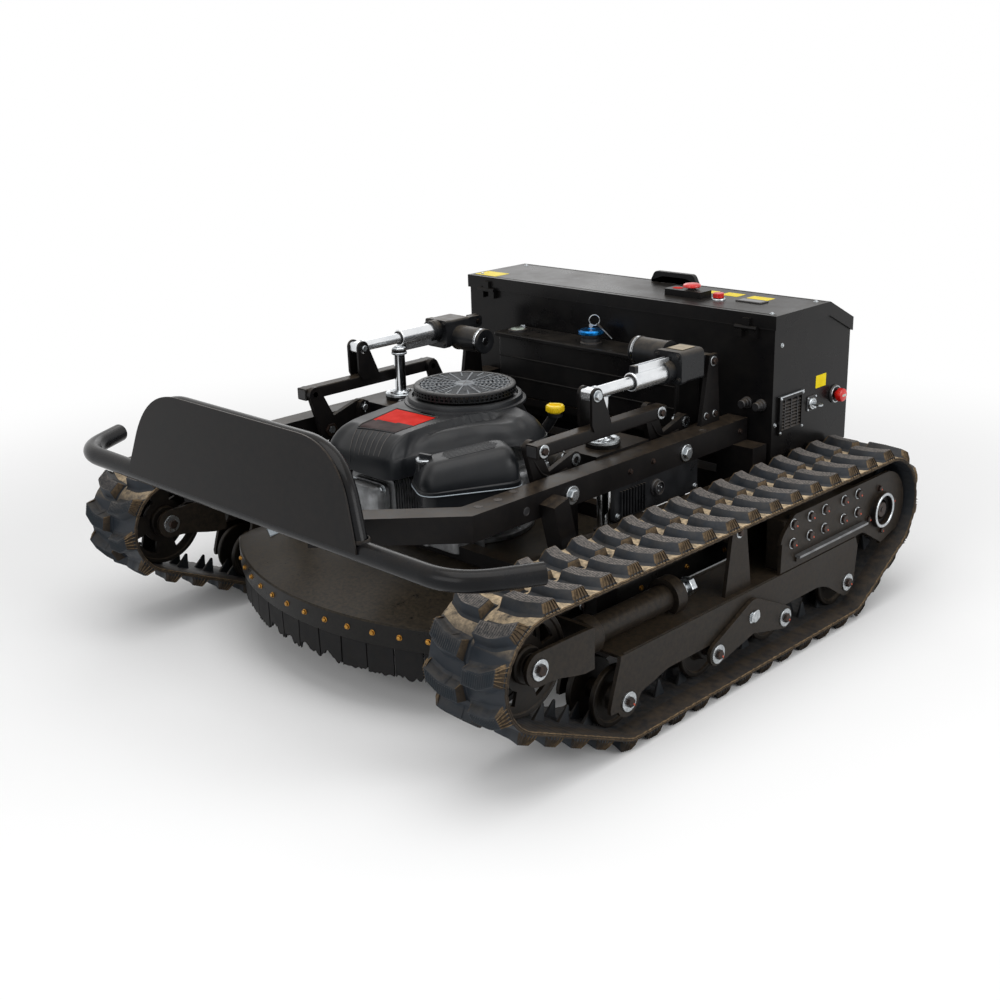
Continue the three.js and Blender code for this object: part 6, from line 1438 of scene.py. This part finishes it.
# key upright in the cap's lock, with a split ring on it that carries the spare key over the cap's rim
lock = neck @ Matrix.Rotation(pi / 4, 4, "Z")
addPlate(shape, rounded([(-2, 579.6, 0), (2, 579.6, 0), (2, 584, 0.5), (4.5, 586, 1), (4.5, 592, 2), (-4.5, 592, 2),
                         (-4.5, 586, 1), (-2, 584, 0.5)]), -0.8, 0.8, lock @ standing, slot=2)
addTube(shape, [lock @ Vector((7.8 + 12 * math.cos(t), 0.3 * math.sin(t), 601 + 12 * math.sin(t)))
                for t in [2 * pi * k / 32 for k in range(33)]], 0.9, 2, 8)
spare = lock @ aimed((13, -3, 594), (47, -20, 561))
addPlate(shape, oblong(-4, -1.3, 4, 1.3, 1), 2, 17, spare, slot=1)
addPlate(shape, oblong(-2.4, -0.7, 2.4, 0.7, 0.3), 0, 50, spare, slot=2)
makePiece(shape, "fuelCap", "fuel_cap", ["blueAnodised", "blackRubberAndShade", "zinc"], ["fuel_cap"], edge=0.3)
print("tank")


# Control box: vent and switches on its side, glands on its front, and the lid with buttons, display and plain labels

# x and y of the buttons on the lid, y and z of the switches on the side, and the lid's upper face
panel = {"emergency": (176, 776), "push": (247, 778), "stop": (941, 443), "key": (847, 440), "top": 656.3}
for name in ("control_box", "box_lid"):
    dressNode(name, "boxCoat", 1.4)
dressNode("battery_pack", "nylon", 1.5)

shape = bmesh.new()
side, stopAt, keyAt = alongX(), alongX(*panel["stop"]), alongX(*panel["key"])
# vent: bright frame edge, screws and a grille of slats
addPlate(shape, oblong(716, 396, 808, 480, 3), 455, 456.4, side, [oblong(725, 405, 799, 471, 3)])
addPlate(shape, oblong(716, 477.5, 808, 480.3, 1), 450.5, 456.6, side, slot=1)
for number in range(9):
    z = 408 + number * 7
    addLoft(shape, [[Vector((x, y, h)) for x, h in ((450.6, z), (454.4, z - 3.4), (455, z - 2.6), (451.2, z + 0.8))]
                    for y in (724, 800)], 2)
for y in (738, 762, 786):
    addBlock(shape, (451, y - 1.2, 404), (454.8, y + 1.2, 472), 2)
for y in (720.5, 803.5):
    for z in (400.5, 475.5):
        addBolt(shape, alongX(y, z, 456.2), (3.6, 0.5, 4.4, 1.6), (1, 1))
# stop switch collar, key switch housing
addRound(shape, [(9, 450), (21, 450), (21, 452), (19, 453.4), (19, 455.6), (9, 455.6)], stopAt, 48, 2)
addRound(shape, [(17, 454.8), (19.4, 454.8), (19, 456.3), (17, 456.3), (17, 454.8)], stopAt, 48, 1)
addRound(shape, [(8.8, 450), (13.4, 450), (13.4, 453.6), (12, 456.2), (8.8, 456.2), (8.8, 450)], keyAt, 40, 1)
addPlate(shape, oblong(828, 424, 866, 458, 6), 450, 451.8, side, [circle(13.6, panel["key"], 32)], slot=2)
for y, z in ((832, 428), (862, 428), (832, 454), (862, 454)):
    addBolt(shape, alongX(y, z, 451.8), (0, 0, 4.6, 1.6), (1, 1))
for z, y in ((590, 724), (420, 708)):
    addBolt(shape, alongX(y, z, 450), (5, 0.6, 6, 2.2), (1, 1))
# closed glands on the front
for x in (387, 423):
    addRound(shape, [(0, 0), (13, 0), (13, 4), (11, 5), (11, 12), (9.4, 13), (9.4, 22), (8, 24), (0, 24)],
             frontward(x, 463, 696), 32, 2)
makePiece(shape, "boxFittings", "frame", ["boxCoat", "zinc", "blackRubberAndShade"], edge=0.3, steps=1)

shape = bmesh.new()
top, emergencyAt, pushAt = panel["top"], alongZ(*panel["emergency"]), alongZ(*panel["push"])
# seams of the folded lid, and reinforcing beads pressed into it
for y in (704, 893):
    addTube(shape, [(-446, y, top - 0.2), (446, y, top - 0.2)], 0.9, sides=8)
for start, end in (((-453.6, 696), (-453.6, 898)), ((453.4, 696), (453.4, 898)), ((-452, 692.4), (452, 692.4))):
    addTube(shape, [(*start, 627), (*end, 627)], 1.0, sides=8)
# raised base of the stop button, grey on the machine but drawn in the box's coat, with a red oval
addPlate(shape, oblong(115, 754, 215, 798, 6), top + 13.2, top + 14.8, alongZ(), [circle(10.5, panel["emergency"], 28)])
addPlate(shape, oblong(126, 766, 150, 786, 9, 8), top + 14.6, top + 15.4, alongZ(), slot=1)
addRound(shape, [(10.6, top + 14.6), (17, top + 14.6), (17, top + 15), (16.4, top + 15.3), (10.6, top + 15.3)],
         emergencyAt, 40, 2)
addRound(shape, [(12.6, top), (15.6, top), (15.6, top + 1.6), (14.8, top + 3.4), (12.6, top + 3.4)], pushAt, 40, 3)
# display and its bezel
addPlate(shape, oblong(286, 784, 354, 815, 4), top, top + 2.4, alongZ(), slot=2)
addPlate(shape, oblong(291, 788, 349, 811, 2), top + 2.3, top + 2.8, alongZ(), slot=4)
# plain yellow labels
for extent in ((-446, 708, -373, 759), (216, 826, 262, 862), (286, 826, 342, 858), (166, 830, 196, 858)):
    addPlate(shape, oblong(*extent, 2, 3), top, top + 0.35, alongZ(), slot=5)
for x, y in ((-430, 880), (430, 880), (-430, 720), (430, 712)):
    addBolt(shape, alongZ(x, y, top), (5.4, 0.7, 6.6, 2.2), (3, 3))
for sign in (1, -1):
    for x in (sign * 384 - 6, sign * 384 + 6):
        addBolt(shape, frontward(x, 637, 691.7), (0, 0, 5, 1.6), (3, 3))
makePiece(shape, "lidFittings", "lid", ["boxCoat", "redVinyl", "blackRubberAndShade", "zinc", "glass", "yellowVinyl"], edge=0.3,
          steps=1)

shape = bmesh.new()
addPlate(shape, oblong(862, 470, 903, 498, 1, 3), 450, 450.4, side)
makePiece(shape, "sideLabel", "frame", ["yellowVinyl"], edge=0)

# handle: moulded bow with slanted feet
shape = bmesh.new()
bow = [(-67, 0.3), (-45, 0.3), (-42, 6), (-39, 14), (-30, 15.4), (30, 15.4), (39, 14), (42, 6), (45, 0.3), (67, 0.3),
       (67, 5), (58, 22), (52, 26), (-52, 26), (-58, 22), (-67, 5)]
addPlate(shape, rounded([(a + 47, b + top, 3) for a, b in bow], 4), 878, 890, standing)
makePiece(shape, "lidHandle", "lid", ["nylon"], ["lid_handle"], edge=2.2, steps=4)

shape = bmesh.new()
addRound(shape, [(0, 640), (9, 640), (9, 677.4), (0, 677.4)], emergencyAt, 40, 1)
addRound(shape, [(0, 677), (18.8, 677), (20, 678.2), (20, 680.6), (18.8, 682.8), (15, 684.6), (9, 685.2), (0, 685.3)],
         emergencyAt, 56)
makePiece(shape, "emergencyButton", "emergency_button", ["redPlastic", "nylon"], ["emergency_button"], edge=0)

shape = bmesh.new()
addRound(shape, [(0, 640), (6, 640), (6, 661), (0, 661)], pushAt, 32, 1)
addRound(shape, [(0, 660.6), (11.4, 660.6), (12, 661.4), (12, 669.6), (10.8, 671), (0, 671.3)], pushAt, 48)
makePiece(shape, "pushButton", "push_button", ["redPlastic", "nylon"], ["push_button"], edge=0)

shape = bmesh.new()
addRound(shape, [(0, 441), (8, 441), (8, 461.3), (13.6, 461.3), (15, 462.6), (15, 471), (14, 474), (11, 475.6),
                 (0, 475.9)], stopAt, 48, 0)
addPlate(shape, oblong(934, 440.4, 948, 445.6, 1), 475.4, 476, side, slot=1)
makePiece(shape, "sideStopButton", "side_stop_button", ["redPlastic", "gauge"], ["side_stop_button"], edge=0.3)

shape = bmesh.new()
addRound(shape, [(0, 441), (8, 441), (8, 455.6), (7, 457), (0, 457)], keyAt, 40, 0)
addPlate(shape, rounded([(456.3, -5, 1), (461, -8, 2), (473, -8, 2), (478.3, -4, 2), (478.3, 4, 2), (473, 8, 2),
                         (461, 8, 2), (456.3, 5, 1)]), -2, 2, alongZ(0, *panel["key"]), [circle(2.4, (471, 0), 20)],
         slot=1)
makePiece(shape, "keySwitch", "key_switch", ["zinc", "zinc"], ["key_switch"], edge=0.4)
print("control box")
print("pieces:", len(pieces))


# Floor, light and camera

def makeFloor():
    bpy.ops.mesh.primitive_circle_add(vertices=128, radius=60, fill_type="NGON", location=(0, 0, 0))
    floor = bpy.context.object
    floor.name = "studioFloor"
    material = bpy.data.materials.new("paleFloor")
    material.use_nodes = True
    tree = material.node_tree
    tree.nodes.clear()
    # the floor fades from a pale diffuse sheet to the plain white of the world
    where = addNode(tree, "TexCoord").outputs["Object"]
    far = addNode(tree, "VectorMath", {}, {0: where}, operation="LENGTH").outputs["Value"]
    fade = addNode(tree, "MapRange", {1: 1.1, 2: 2.6}, {0: far}, interpolation_type="SMOOTHSTEP").outputs[0]
    sheet = addNode(tree, "BsdfDiffuse", {"Color": (0.9, 0.9, 0.9, 1), "Roughness": 0.3})
    white = addNode(tree, "Emission", {"Color": (1, 1, 1, 1), "Strength": 1.0})
    mixed = addNode(tree, "MixShader", {}, {0: fade, 1: sheet.outputs[0], 2: white.outputs[0]})
    addNode(tree, "OutputMaterial", {}, {0: mixed.outputs[0]})
    floor.data.materials.append(material)


def makeWorld():
    world = bpy.data.worlds.new("studio")
    scene.world = world
    world.use_nodes = True
    tree = world.node_tree
    tree.nodes.clear()
    path = addNode(tree, "LightPath")
    clear = addNode(tree, "Math", {}, {0: path.outputs["Is Glossy Ray"], 1: path.outputs["Is Transmission Ray"]},
                    operation="MAXIMUM")
    seen = addNode(tree, "Math", {}, {0: path.outputs["Is Camera Ray"], 1: clear.outputs[0]}, operation="MAXIMUM")
    white = addNode(tree, "Background", {"Color": (1, 1, 1, 1), "Strength": 1.0})
    soft = addNode(tree, "Background", {"Color": (1, 1, 1, 1), "Strength": 0.42})
    mixed = addNode(tree, "MixShader", {}, {0: seen.outputs[0], 1: soft.outputs[0], 2: white.outputs[0]})
    addNode(tree, "OutputWorld", {}, {0: mixed.outputs[0]})


def makeLamp(name, place, target, size, power):
    lamp = bpy.data.lights.new(name, "AREA")
    lamp.shape = "RECTANGLE"
    lamp.size, lamp.size_y = size
    lamp.energy = power
    holder = bpy.data.objects.new(name, lamp)
    holder.location = place
    holder.rotation_euler = (Vector(target) - Vector(place)).to_track_quat("-Z", "Y").to_euler()
    scene.collection.objects.link(holder)


makeFloor()
makeWorld()
makeLamp("overhead", (0.6, -0.6, 3.6), (0, 0, 0.3), (3.4, 3.4), 78)
makeLamp("front", (0.4, -3.8, 1.9), (0, 0, 0.3), (2.6, 1.8), 34)
makeLamp("right", (3.9, 0.8, 1.8), (0, 0, 0.3), (2.6, 1.6), 54)
makeLamp("back", (-3.0, 2.6, 2.2), (0, 0, 0.4), (2.0, 1.4), 14)

# the photograph's camera: degrees round, up and over, focal length in mm, place in metres
view = {"turns": (44.943, 18.802, -1.64), "lens": 48.607, "place": (1.981, -1.98785, 1.209)}
azimuth, elevation, roll = (math.radians(degrees) for degrees in view["turns"])
forward = Vector((-math.sin(azimuth) * math.cos(elevation), math.cos(azimuth) * math.cos(elevation),
                  -math.sin(elevation)))
across = Vector((math.cos(azimuth), math.sin(azimuth), 0))
upward = across.cross(forward)
right = across * math.cos(roll) + upward * math.sin(roll)
above = upward * math.cos(roll) - across * math.sin(roll)
lens = bpy.data.cameras.new("camera")
lens.lens = view["lens"]
lens.sensor_width = 36
camera = bpy.data.objects.new("camera", lens)
camera.matrix_world = Matrix.Translation(view["place"]) @ Matrix((right, above, -forward)).transposed().to_4x4()
scene.collection.objects.link(camera)
scene.camera = camera
scene.view_settings.view_transform = "Standard"
